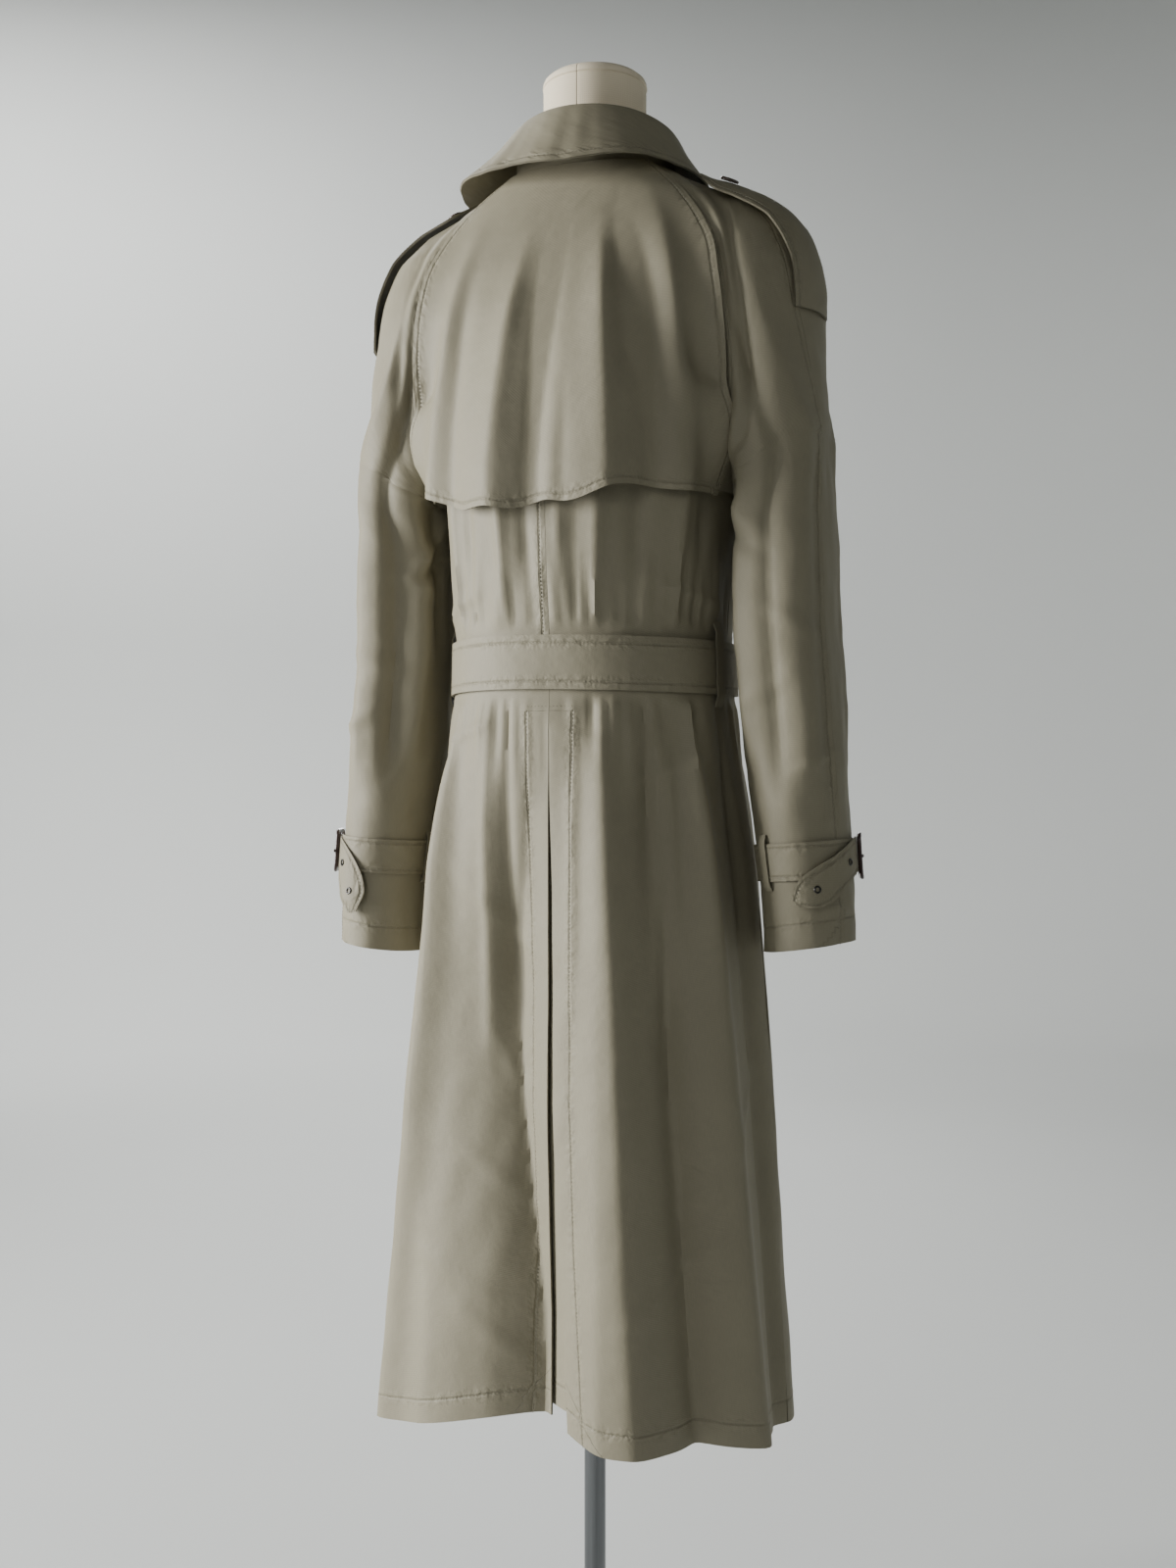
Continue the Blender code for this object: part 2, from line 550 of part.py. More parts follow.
def build_tail(side, hand, at):
    """Free end of a cuff strap, hanging from its buckle."""
    if side > 0:
        path = [(at + 8.0, -0.072), (at + 20.0, -0.078), (at + 28.0, -0.094), (at + 32.0, -0.112),
                (at + 34.0, -0.130)]
        half = [0.0165, 0.0165, 0.0140, 0.0110, 0.0055]
        tilt = [0.0, 25.0, 55.0, 70.0, 74.0]
    else:
        path = [(at + 9.0, -0.070), (at + 30.0, -0.074), (at + 55.0, -0.086), (at + 78.0, -0.101),
                (at + 90.0, -0.110)]
        half = [0.0165, 0.0165, 0.0160, 0.0155, 0.0060]
        tilt = [4.0, 10.0, 20.0, 26.0, 30.0]
    columns = []
    for (angle, z), reach, lean in zip(path, half, tilt):
        a = math.radians(lean)
        column = []
        for part in (-1.0, 0.0, 1.0):
            shift = math.degrees(part * reach * math.sin(a) / 0.052)
            p, n = sleeve_band(side, [z + part * reach * math.cos(a)], np.array([angle + shift]))
            column.append((p[0, 0], n[0, 0]))
        columns.append(column)
    points = np.array([[c[i][0] for c in columns] for i in range(3)])
    slopes = np.array([[c[i][1] for c in columns] for i in range(3)])
    lift = np.array([0.0052, 0.0056, 0.0068, 0.0080, 0.0094]) * np.ones((3, 1))
    cloth("cuff_tail_" + hand, points, slopes, lift, STRAP_THICK)
    steel = material("eyelet_steel", (0.08, 0.08, 0.085), 1.0, 0.35)
    for number, column in enumerate((1, 3), start=1):
        at = 0.5 * (points[1, column] + points[1, column + 1]) if number == 1 else points[1, column]
        n = slopes[1, column]
        high = 0.5 * (lift[1, column] + lift[1, column + 1]) if number == 1 else lift[1, column]
        washer("cuff_eyelet_%s_%d" % (hand, number), place(at + n * (high + 0.0008)), n, steel)


def washer(name, centre, out, look):
    """Flat ring across out."""
    flat = np.cross(out, [0.0, 0.0, 1.0])
    flat /= np.linalg.norm(flat)
    up = np.cross(flat, out)
    count, profile = 16, ((0.0019, 0.0), (0.0036, 0.0), (0.0036, 0.0006), (0.0019, 0.0006))
    vertices, faces = [], []
    for i in range(count):
        a = 2 * math.pi * i / count
        rim = flat * math.cos(a) + up * math.sin(a)
        vertices += [centre + rim * radius + out * height for radius, height in profile]
        j = (i + 1) % count
        faces += [(i * 4 + k, i * 4 + (k + 1) % 4, j * 4 + (k + 1) % 4, j * 4 + k) for k in range(4)]
    return make(name, vertices, faces, look)


def frame_ring(name, spot, wide, tall, bar, foot, deep, look):
    """Rectangular buckle frame with a middle bar; spot(across, up, lift) follows the cloth."""
    half_w, half_t = wide / 2, tall / 2
    xs = [-half_w, -half_w + bar, -bar / 2, bar / 2, half_w - bar, half_w]
    ys = [-half_t, -half_t + bar, half_t - bar, half_t]
    vertices, index, faces = [], {}, []

    def corner(i, j, layer):
        key = (i, j, layer)
        if key not in index:
            index[key] = len(vertices)
            vertices.append(place(spot(xs[i], ys[j], foot + layer * deep)))
        return index[key]

    solid = {(i, j) for i in range(5) for j in range(3) if j != 1 or i in (0, 2, 4)}
    for i, j in sorted(solid):
        faces.append([corner(i, j, 1), corner(i + 1, j, 1), corner(i + 1, j + 1, 1), corner(i, j + 1, 1)])
        faces.append([corner(i, j, 0), corner(i, j + 1, 0), corner(i + 1, j + 1, 0), corner(i + 1, j, 0)])
        rims = (((i - 1, j), (i, j), (i, j + 1)), ((i + 1, j), (i + 1, j + 1), (i + 1, j)),
                ((i, j - 1), (i + 1, j), (i, j)), ((i, j + 1), (i, j + 1), (i + 1, j + 1)))
        for beside, a, b in rims:
            if beside not in solid:
                faces.append([corner(*a, 0), corner(*b, 0), corner(*b, 1), corner(*a, 1)])
    return make(name, vertices, faces, look)


def build_cuff_buckle(side, hand, at):
    look = material("buckle_leather", (0.035, 0.018, 0.014), 0.0, 0.35)

    def spot(across, up, lift):
        angle = np.array([at + math.degrees(across / 0.053)])
        points, slopes = sleeve_band(side, [-0.0725 + up], angle)
        return points[0, 0] + slopes[0, 0] * lift
    frame_ring("cuff_buckle_" + hand, spot, 0.034, 0.045, 0.0050, 0.0064, 0.0030, look)


# ---- belt ------------------------------------------------------------------------------
def build_belt():
    base = BELT_THICK + LAYER + 0.0006
    angles = np.linspace(-170.0, 190.0, 49)[:-1]
    heights = np.array([BELT_LOW, BELT_HIGH])
    z, angle = np.meshgrid(heights, angles, indexing="ij")
    wrapped = (angle + 180.0) % 360.0 - 180.0
    p, n = body_point(wrapped, z, False)
    cloth("belt", p, n, base, BELT_THICK, closed=True)
    tail_angles = np.linspace(-176.0, -112.0, 13)
    tail_heights = np.array([BELT_LOW, 0.5 * (BELT_LOW + BELT_HIGH), BELT_HIGH])
    z, angle = np.meshgrid(tail_heights, tail_angles, indexing="ij")
    p, n = body_point(angle, z, False)
    p[1:-1, -1] += np.array([-0.012, 0.004, 0.0])
    cloth("belt_tail", p, n, base + BELT_THICK + 0.0008, BELT_THICK)
    leather = material("buckle_leather", (0.035, 0.018, 0.014), 0.0, 0.35)

    def spot(across, up, lift):
        angle = np.array([-177.0 + math.degrees(across / 0.125)])
        p, n = body_point(angle, np.array([0.116 + up]), False)
        return p[0] + n[0] * lift
    frame_ring("belt_buckle", spot, 0.052, 0.070, 0.0075, 0.0092, 0.0040, leather)
    for side, hand in ((1.0, "left"), (-1.0, "right")):
        at = np.array([73.0, 75.5, 78.0]) * side
        z, angle = np.meshgrid(np.array([0.074, 0.086, 0.146, 0.158]), at, indexing="ij")
        p, n = body_point(angle, z, False)
        lift = np.array([[0.0022], [0.0064], [0.0064], [0.0022]]) * np.ones((1, 3))
        cloth("belt_loop_" + hand, p, n, lift, 0.0018)


# ---- collar ----------------------------------------------------------------------------
COLLAR_ENDS = 148.0
# The folded collar at the centre back, side and front end: distance out and height.
# columns: place, stand_foot, fold, fall_mid, fall_edge, each as (radius, z)
COLLAR = [
    (0.0, (0.0705, 0.614), (0.0690, 0.6635), (0.0930, 0.6340), (0.1110, 0.5990)),
    (45.0, (0.0745, 0.614), (0.0730, 0.6600), (0.1000, 0.6330), (0.1250, 0.6050)),
    (90.0, (0.0810, 0.614), (0.0785, 0.6500), (0.1080, 0.6260), (0.1420, 0.6090)),
    (125.0, (0.0790, 0.612), (0.0780, 0.6340), (0.1070, 0.6080), (0.1420, 0.5800)),
    (COLLAR_ENDS, (0.0760, 0.610), (0.0790, 0.6200), (0.1040, 0.5900), (0.1360, 0.5560))]


def collar_path(angle):
    """Cross-section of the collar at an angle: foot of the stand, fold and edge of the fall."""
    rows = np.array([[row[0]] + [v for pair in row[1:] for v in pair] for row in COLLAR])
    values = [float(np.interp(abs(angle), rows[:, 0], rows[:, i])) for i in range(1, rows.shape[1])]
    foot, fold, mid, edge = [np.array(values[i:i + 2]) for i in (0, 2, 4, 6)]
    return np.array([foot, fold - (0.0, 0.006), fold + (0.004, 0.0), fold + (0.0095, -0.004), mid, edge])


def build_collar():
    angles = np.linspace(-COLLAR_ENDS, COLLAR_ENDS, 21)
    outer, inner = [], []
    for angle in angles:
        path = collar_path(angle)
        step = np.gradient(path, axis=0)
        side = np.stack([-step[:, 1], step[:, 0]], axis=-1)
        side /= np.linalg.norm(side, axis=-1, keepdims=True)
        a = math.radians(angle)
        ray = np.array([math.sin(a), math.cos(a), 0.0])
        for store, shift in ((outer, 0.0), (inner, -CLOTH)):
            moved = path + side * shift
            store.append([ray * r + np.array([0.0, 0.0, z]) for r, z in moved])
    cloth_outer = place(np.array(outer).transpose(1, 0, 2))
    cloth_inner = place(np.array(inner).transpose(1, 0, 2))
    wall("collar", cloth_outer, cloth_inner, gabardine())


# ---- epaulettes and buttons --------------------------------------------------------------
def shoulder_point(turn, y):
    """Point on the shoulder seen from inside it, turned up from level by turn degrees."""
    a = np.radians(turn)
    origin = np.stack([np.full_like(y, 0.140), y, np.full_like(y, 0.445)], axis=-1)
    ray = np.stack([np.cos(a), np.zeros_like(a), np.sin(a)], axis=-1)
    p = cast(origin, ray, coat_field)
    return p, normals(p, coat_field)


def button(name, centre, out, radius, thick, look):
    """Round button: a domed disc across out."""
    out = out / np.linalg.norm(out)
    flat = np.cross(out, [0.0, 0.0, 1.0])
    flat /= np.linalg.norm(flat)
    up = np.cross(flat, out)
    rings = ((0.96, 0.0), (1.0, 0.35), (0.94, 1.0), (0.60, 0.80))
    count = 20
    vertices, faces = [], []
    for scale, height in rings:
        for i in range(count):
            a = 2 * math.pi * i / count
            rim = (flat * math.cos(a) + up * math.sin(a)) * radius * scale
            vertices.append(centre + rim + out * (thick * height))
    for r in range(len(rings) - 1):
        for i in range(count):
            j = (i + 1) % count
            faces.append((r * count + i, r * count + j, (r + 1) * count + j, (r + 1) * count + i))
    faces.append(tuple(range(count))[::-1])
    faces.append(tuple((len(rings) - 1) * count + i for i in range(count)))
    return make(name, vertices, faces, look)


def build_epaulettes():
    horn = material("button_horn", (0.05, 0.035, 0.025), 0.0, 0.3)
    turns = np.array([0.0, 14.0, 28.0, 42.0, 56.0, 68.0, 80.0, 92.0, 99.0])
    lifts = np.array([0.0042, 0.0066, 0.0100, 0.0130, 0.0140, 0.0130, 0.0110, 0.0090, 0.0085])
    halves = np.array([0.031, 0.031, 0.030, 0.029, 0.028, 0.027, 0.026, 0.024, 0.012])
    for side, hand in ((1.0, "left"), (-1.0, "right")):
        across = np.linspace(-1.0, 1.0, 6)
        turn = np.repeat(turns[:, None], 6, axis=1)
        y = 0.012 + halves[:, None] * across[None, :]
        p, n = shoulder_point(turn, y)
        p[..., 0] *= side
        n[..., 0] *= side
        lift = lifts[:, None] - 0.0015 * np.abs(across)[None, :]
        cloth("epaulette_" + hand, p, n, lift, 0.0022)
        p, n = shoulder_point(np.array([88.0]), np.array([0.012]))
        p[..., 0] *= side
        n[..., 0] *= side
        button("epaulette_button_" + hand, place(p[0] + n[0] * 0.0104), n[0], 0.0095, 0.0035, horn)


def build_front_buttons():
    horn = material("button_horn", (0.05, 0.035, 0.025), 0.0, 0.3)
    number = 1
    for z in (0.300, 0.215, -0.010, -0.120):
        for x in (0.056, -0.056):
            depth = float(section(BODY, z)[2])
            angle = math.degrees(math.atan2(x, -depth))
            p, n = body_point(np.array([angle]), np.array([z]), False)
            p = p + n * fold_height(BODY_FOLDS, np.array([angle]), np.array([z]), SKIRT_RADIUS)[:, None]
            button("front_button_%d" % number, place(p[0] + n[0] * 0.0016), n[0], 0.0125, 0.0045, horn)
            number += 1


# ---- dress form and stand ------------------------------------------------------------------
def build_form():
    look = material("form_cloth", (0.70, 0.66, 0.58), 0.0, 0.85)
    count = 32
    a = np.radians(np.arange(count) * 360.0 / count)
    rings = []
    for z in FORM[:, 0]:
        half, back, front = section(FORM, z)
        depth = np.where(np.cos(a) > 0, back, front)
        power = 2.15 if z < 0.52 else 2.0
        ratio = (np.abs(np.sin(a)) / half) ** power + (np.abs(np.cos(a)) / depth) ** power
        radius = ratio ** (-1 / power)
        rings.append(np.stack([np.sin(a) * radius, np.cos(a) * radius, np.full(count, z)], axis=-1))
    stack([place(ring) for ring in rings], "form_torso", look)
    cap = []
    for radius, z in ((0.0500, 0.7065), (0.0525, 0.7075), (0.0525, 0.7130), (0.0470, 0.7230),
                      (0.0340, 0.7300), (0.0160, 0.7335)):
        cap.append(np.stack([np.sin(a) * radius, np.cos(a) * radius, np.full(count, z)], axis=-1))
    stack([place(ring) for ring in cap], "form_neck_cap", look)


def stack(rings, name, look):
    """Solid of stacked rings with flat ends."""
    count = len(rings[0])
    vertices = np.concatenate(rings)
    faces = []
    for r in range(len(rings) - 1):
        for i in range(count):
            j = (i + 1) % count
            faces.append((r * count + i, r * count + j, (r + 1) * count + j, (r + 1) * count + i))
    faces.append(tuple(range(count)))
    faces.append(tuple((len(rings) - 1) * count + i for i in range(count)))
    return make(name, vertices, faces, look)


def turned(name, profile, look, count=48):
    a = np.arange(count) * 2 * math.pi / count
    rings = [np.stack([np.cos(a) * r, np.sin(a) * r, np.full(count, z)], axis=-1) for r, z in profile]
    stack(rings, name, look)


def build_stand():
    chrome = material("chrome", (0.70, 0.71, 0.72), 1.0, 0.12)
    form_foot = LEVEL + float(FORM[0, 0])
    turned("base_plate", [(BASE_RADIUS - 0.003, 0.0), (BASE_RADIUS, 0.003), (BASE_RADIUS, BASE_THICK - 0.004),
                          (BASE_RADIUS - 0.006, BASE_THICK)], chrome, 64)
    turned("base_boss", [(0.032, BASE_THICK + 0.0003), (0.032, BASE_THICK + 0.008),
                         (0.020, BASE_THICK + 0.026), (0.016, BASE_THICK + 0.040)], chrome)
    turned("pole", [(POLE_RADIUS, BASE_THICK + 0.0403), (POLE_RADIUS, form_foot - 0.0153)], chrome, 40)
    turned("pole_flange", [(0.016, form_foot - 0.0150), (0.055, form_foot - 0.0060),
                           (0.055, form_foot - 0.0003)], chrome, 40)


for existing in list(bpy.data.objects):
    bpy.data.objects.remove(existing)
build_backs()
build_flap()
build_underlay()
build_fronts()
build_sleeves()
build_cuffs()
build_belt()
build_collar()
build_epaulettes()
build_front_buttons()
build_form()
build_stand()
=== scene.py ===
import math

import bmesh
import bpy
import numpy as np
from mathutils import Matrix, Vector


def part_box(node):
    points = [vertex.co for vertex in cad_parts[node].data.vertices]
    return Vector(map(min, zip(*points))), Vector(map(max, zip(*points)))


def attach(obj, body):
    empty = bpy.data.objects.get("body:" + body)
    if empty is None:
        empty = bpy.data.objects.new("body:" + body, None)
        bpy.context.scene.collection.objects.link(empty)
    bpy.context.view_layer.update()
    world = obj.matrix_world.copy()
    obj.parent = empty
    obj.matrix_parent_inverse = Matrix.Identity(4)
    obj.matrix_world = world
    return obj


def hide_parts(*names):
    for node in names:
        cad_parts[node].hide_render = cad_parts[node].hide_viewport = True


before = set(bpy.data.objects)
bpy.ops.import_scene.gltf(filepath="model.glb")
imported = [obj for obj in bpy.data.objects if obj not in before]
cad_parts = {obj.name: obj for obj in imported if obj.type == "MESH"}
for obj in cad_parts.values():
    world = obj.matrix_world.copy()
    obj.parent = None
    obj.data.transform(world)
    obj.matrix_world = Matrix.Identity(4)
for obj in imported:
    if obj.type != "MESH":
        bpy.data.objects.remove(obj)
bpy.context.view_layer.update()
print("stage: frame loaded")

# Heights below are measured from this level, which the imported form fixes.
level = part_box("form_neck_cap")[1][2] - 0.7335
floorUp = np.array([0.0, 0.0, level])
clothWall = 0.0017       # thickness of one cloth panel, metres
layerGap = 0.0006        # clearance of a piece lying on another
seamGap = 0.00015        # half of the gap between two sewn pieces
pitch = 0.0046 * 1.0   # grid spacing of the cloth

# Body of the coat. columns: z, halfWidth, back, front
bodySections = np.array([
    (-0.68, 0.207, 0.174, 0.174), (-0.60, 0.202, 0.170, 0.169), (-0.48, 0.193, 0.163, 0.160),
    (-0.38, 0.186, 0.157, 0.155), (-0.28, 0.180, 0.151, 0.149), (-0.155, 0.171, 0.144, 0.142),
    (-0.08, 0.165, 0.139, 0.138), (-0.03, 0.158, 0.135, 0.134), (0.03, 0.149, 0.131, 0.127),
    (0.09, 0.141, 0.128, 0.121), (0.142, 0.139, 0.128, 0.120), (0.20, 0.143, 0.136, 0.128),
    (0.26, 0.147, 0.141, 0.136), (0.30, 0.149, 0.141, 0.138), (0.36, 0.154, 0.136, 0.136),
    (0.42, 0.162, 0.128, 0.129), (0.46, 0.174, 0.120, 0.121), (0.50, 0.184, 0.109, 0.111),
    (0.535, 0.184, 0.097, 0.100), (0.56, 0.167, 0.087, 0.091), (0.578, 0.145, 0.080, 0.084),
    (0.595, 0.114, 0.073, 0.078), (0.61, 0.086, 0.069, 0.074), (0.62, 0.058, 0.054, 0.058),
    (0.632, 0.020, 0.020, 0.020)])

# Left sleeve. columns: z, centreX, centreY, halfWidth, halfDepth
sleeveSections = np.array([
    (-0.22, 0.229, 0.020, 0.0430, 0.056), (-0.10, 0.2250, 0.020, 0.0440, 0.058),
    (0.04, 0.2115, 0.014, 0.0475, 0.067), (0.14, 0.2025, 0.010, 0.0480, 0.073),
    (0.20, 0.2005, 0.010, 0.0480, 0.076), (0.285, 0.1990, 0.009, 0.0460, 0.079),
    (0.34, 0.192, 0.006, 0.0505, 0.081), (0.40, 0.183, 0.002, 0.0545, 0.083),
    (0.46, 0.173, 0.0, 0.062, 0.080), (0.56, 0.160, 0.0, 0.060, 0.072)])
headZ, headRise = 0.470, 0.080    # the sleeve closes as a dome above this height

# Raglan seam, underarm to neck. columns: seamX, seamZ, ring centre past the seam, ring angle
armholeTable = [
    (0.1560, 0.285, 0.061, 180.0), (0.1570, 0.289, 0.060, 164.0), (0.1580, 0.300, 0.055, 144.0),
    (0.1600, 0.322, 0.045, None), (0.1630, 0.360, 0.030, None), (0.1630, 0.400, 0.020, None),
    (0.1600, 0.440, 0.010, None), (0.1550, 0.480, 0.000, None), (0.1450, 0.520, 0.000, None),
    (0.1150, 0.566, -0.010, None), (0.0740, 0.607, -0.030, None)]
pivot = np.array([0.10, 0.0, 0.25])
sleeveRings = [(0.262, 25.0), (0.220, 18.0), (0.175, 12.0), (0.125, 7.0), (0.070, 4.0), (0.015, 3.0),
               (-0.035, 3.0), (-0.0725, 4.0), (-0.110, 6.0), (-0.155, 8.0)]
ventTable = np.array([   # columns: z, left edge x, right edge x
    (-0.64, -0.004, -0.034), (-0.52, -0.003, -0.024), (-0.42, -0.001, -0.014), (-0.30, 0.0025, -0.006),
    (-0.10, 0.0020, -0.004), (0.00, 0.0008, -0.0008), (0.072, seamGap, -seamGap),
    (0.70, seamGap, -seamGap)])
hemZ = -0.594
ventTop, ventBottom = 0.072, -0.70      # the lower value lies below the hem
beltLow, beltHigh = 0.090, 0.142
strapLow, strapHigh = -0.090, -0.055


def section(table, z):
    # the table's other columns at height z
    return [np.interp(z, table[:, 0], table[:, i]) for i in range(1, table.shape[1])]


def smooth(a, b, x):
    # 0 to 1 as x goes from a to b
    t = np.clip((x - a) / (b - a), 0.0, 1.0)
    return t * t * (3.0 - 2.0 * t)


def bodyField(p):
    x, y, z = p[..., 0], p[..., 1], p[..., 2]
    half, back, front = section(bodySections, z)
    depth = np.where(y > 0, back, front)
    ratio = (np.abs(x) / half) ** 2.25 + (np.abs(y) / depth) ** 2.25
    return (ratio ** (1 / 2.25) - 1.0) * np.minimum(half, depth)


def sleeveField(p):
    x, y, z = p[..., 0], p[..., 1], p[..., 2]
    cx, cy, half, depth = section(sleeveSections, z)
    rise = np.clip((z - headZ) / headRise, 0.0, None)
    return (np.sqrt(((x - cx) / half) ** 2 + ((y - cy) / depth) ** 2 + rise ** 2) - 1.0) * half


def coatField(p):
    # body and sleeve run into one another over the shoulder
    a, b = bodyField(p), sleeveField(p)
    blend = 0.004 + 0.040 * smooth(0.30, 0.44, p[..., 2])
    h = np.clip(0.5 + 0.5 * (b - a) / blend, 0.0, 1.0)
    return b + (a - b) * h - blend * h * (1.0 - h)


def cast(origin, direction, field):
    # first point where each ray leaves the field
    steps = np.linspace(0.0, 0.30, 91)      # 30 cm reaches out of every section
    outside = field(origin[..., None, :] + direction[..., None, :] * steps[:, None]) > 0
    outside[..., -1] = True
    first = np.maximum(np.argmax(outside, axis=-1), 1)
    low, high = steps[first - 1], steps[first]
    for _ in range(16):
        mid = 0.5 * (low + high)
        beyond = field(origin + direction * mid[..., None]) > 0
        high = np.where(beyond, mid, high)
        low = np.where(beyond, low, mid)
    return origin + direction * (0.5 * (low + high))[..., None]


def slopeOf(p, field):
    step = 0.0025
    grad = np.stack([field(p + step * e) - field(p - step * e) for e in np.eye(3)], axis=-1)
    return grad / np.linalg.norm(grad, axis=-1, keepdims=True)


def gridNormals(points, outward):
    # normals of a grid from its own points, turned to the side that outward points to
    du = np.gradient(points, axis=1)
    dv = np.gradient(points, axis=0)
    n = np.cross(du, dv)
    n /= np.maximum(np.linalg.norm(n, axis=-1, keepdims=True), 1e-12)
    return n * np.where(np.sum(n * outward, axis=-1, keepdims=True) < 0, -1.0, 1.0)


def spline(values, t):
    # Catmull-Rom through rows of values, t from 0 to len(values) - 1
    values = np.asarray(values, float)
    last = len(values) - 1
    i = np.clip(np.floor(t).astype(int), 0, last - 1)
    f = (t - i)[(...,) + (None,) * (values.ndim - 1)]
    p0, p1 = values[np.maximum(i - 1, 0)], values[i]
    p2, p3 = values[i + 1], values[np.minimum(i + 2, last)]
    return 0.5 * (2 * p1 + (p2 - p0) * f + (2 * p0 - 5 * p1 + 4 * p2 - p3) * f ** 2
                  + (3 * p1 - p0 - 3 * p2 + p3) * f ** 3)


def ripple(u, v, size, seed, stretch=1.0):
    # soft unevenness from a few waves of fixed directions, about -1 to 1
    rng = np.random.default_rng(int(seed))
    total = np.zeros(np.broadcast(u, v).shape)
    for _ in range(9):
        turn, phase = rng.uniform(0, 2 * math.pi), rng.uniform(0, 2 * math.pi)
        length = size * rng.uniform(0.6, 1.7)
        total += np.sin((u * math.cos(turn) + v * math.sin(turn) / stretch) * 2 * math.pi / length + phase)
    return total / 4.5


# Folds of the body, each a soft ridge (+) or trough (-) running down the cloth.
# columns: angleTop, zTop, angleLow, zLow, height, halfWidth, lean (steeper side)
skirtFolds = [
    (50, 0.086, 63, -0.70, 0.021, 0.022, 0.3), (30, 0.086, 29, -0.30, 0.006, 0.011, 0.0),
    (20, 0.086, 21, -0.26, -0.007, 0.011, 0.0), (-11, 0.086, -10, -0.26, 0.004, 0.009, 0.0),
    (-22, 0.086, -32, -0.70, 0.022, 0.030, 0.3), (-39, 0.086, -53, -0.70, -0.025, 0.018, 0.0),
    (-43, 0.086, -42, -0.26, 0.010, 0.008, 0.0), (-57, 0.086, -67, -0.70, 0.025, 0.020, 0.2),
    (-51, 0.086, -52, -0.22, -0.006, 0.008, 0.0), (-76, 0.086, -86, -0.70, -0.013, 0.016, 0.4),
    (60, 0.086, 62, -0.24, -0.006, 0.010, 0.0), (68, 0.086, 75, -0.70, -0.012, 0.020, 0.0),
    (80, 0.086, 88, -0.60, 0.006, 0.020, 0.0), (-88, 0.086, -92, -0.50, 0.005, 0.016, 0.0),
    (-104, 0.086, -107, -0.70, -0.006, 0.022, 0.0), (104, 0.086, 107, -0.70, 0.012, 0.024, 0.2),
    (117, 0.086, 119, -0.40, -0.009, 0.015, 0.0), (130, 0.086, 134, -0.70, 0.009, 0.024, 0.0),
    (-120, 0.086, -125, -0.70, 0.011, 0.024, 0.0), (-136, 0.086, -140, -0.60, -0.007, 0.018, 0.0),
    (152, 0.086, 153, -0.70, -0.007, 0.020, 0.0)]
waistFolds = [
    (49, 0.34, 46, 0.10, 0.0078, 0.009, 0.3), (39, 0.34, 37, 0.10, -0.0075, 0.009, 0.0),
    (21, 0.34, 18, 0.10, 0.0090, 0.010, 0.3), (10, 0.34, 8, 0.10, -0.0085, 0.011, 0.0),
    (-5, 0.31, -6, 0.10, 0.0040, 0.007, 0.2), (-12, 0.30, -11, 0.10, -0.0018, 0.006, 0.0),
    (-21, 0.34, -19, 0.10, 0.0085, 0.012, 0.2), (-36, 0.34, -35, 0.10, -0.0110, 0.013, 0.0),
    (-54, 0.34, -51, 0.10, 0.0095, 0.010, 0.3), (-65, 0.33, -61, 0.10, -0.0075, 0.011, 0.0),
    (-75, 0.26, -71, 0.10, 0.0060, 0.009, 0.0), (66, 0.30, 63, 0.10, -0.0060, 0.010, 0.0),
    (96, 0.32, 100, 0.10, -0.007, 0.012, 0.0), (-96, 0.32, -102, 0.10, -0.007, 0.012, 0.0),
    (120, 0.38, 128, 0.10, 0.008, 0.013, 0.0), (-118, 0.38, -126, 0.10, 0.008, 0.013, 0.0),
    (-142, 0.32, -140, 0.10, -0.005, 0.011, 0.0), (146, 0.32, 142, 0.10, -0.005, 0.011, 0.0)]
flapFolds = [
    (46, 0.60, 51, 0.14, 0.0110, 0.016, 0.3), (43, 0.54, 36, 0.14, -0.0070, 0.012, 0.0),
    (18, 0.57, 19, 0.14, 0.0100, 0.016, 0.3), (1, 0.59, 5, 0.14, -0.0110, 0.014, 0.0),
    (-9, 0.42, -8, 0.14, -0.0030, 0.007, 0.0), (-23, 0.58, -25, 0.14, 0.0125, 0.017, 0.3),
    (-33, 0.61, -31, 0.36, -0.0040, 0.009, 0.0), (-38, 0.56, -41, 0.14, -0.0130, 0.014, 0.0),
    (-48, 0.61, -54, 0.14, 0.0165, 0.014, 0.3), (-61, 0.55, -64, 0.14, -0.0090, 0.010, 0.0)]
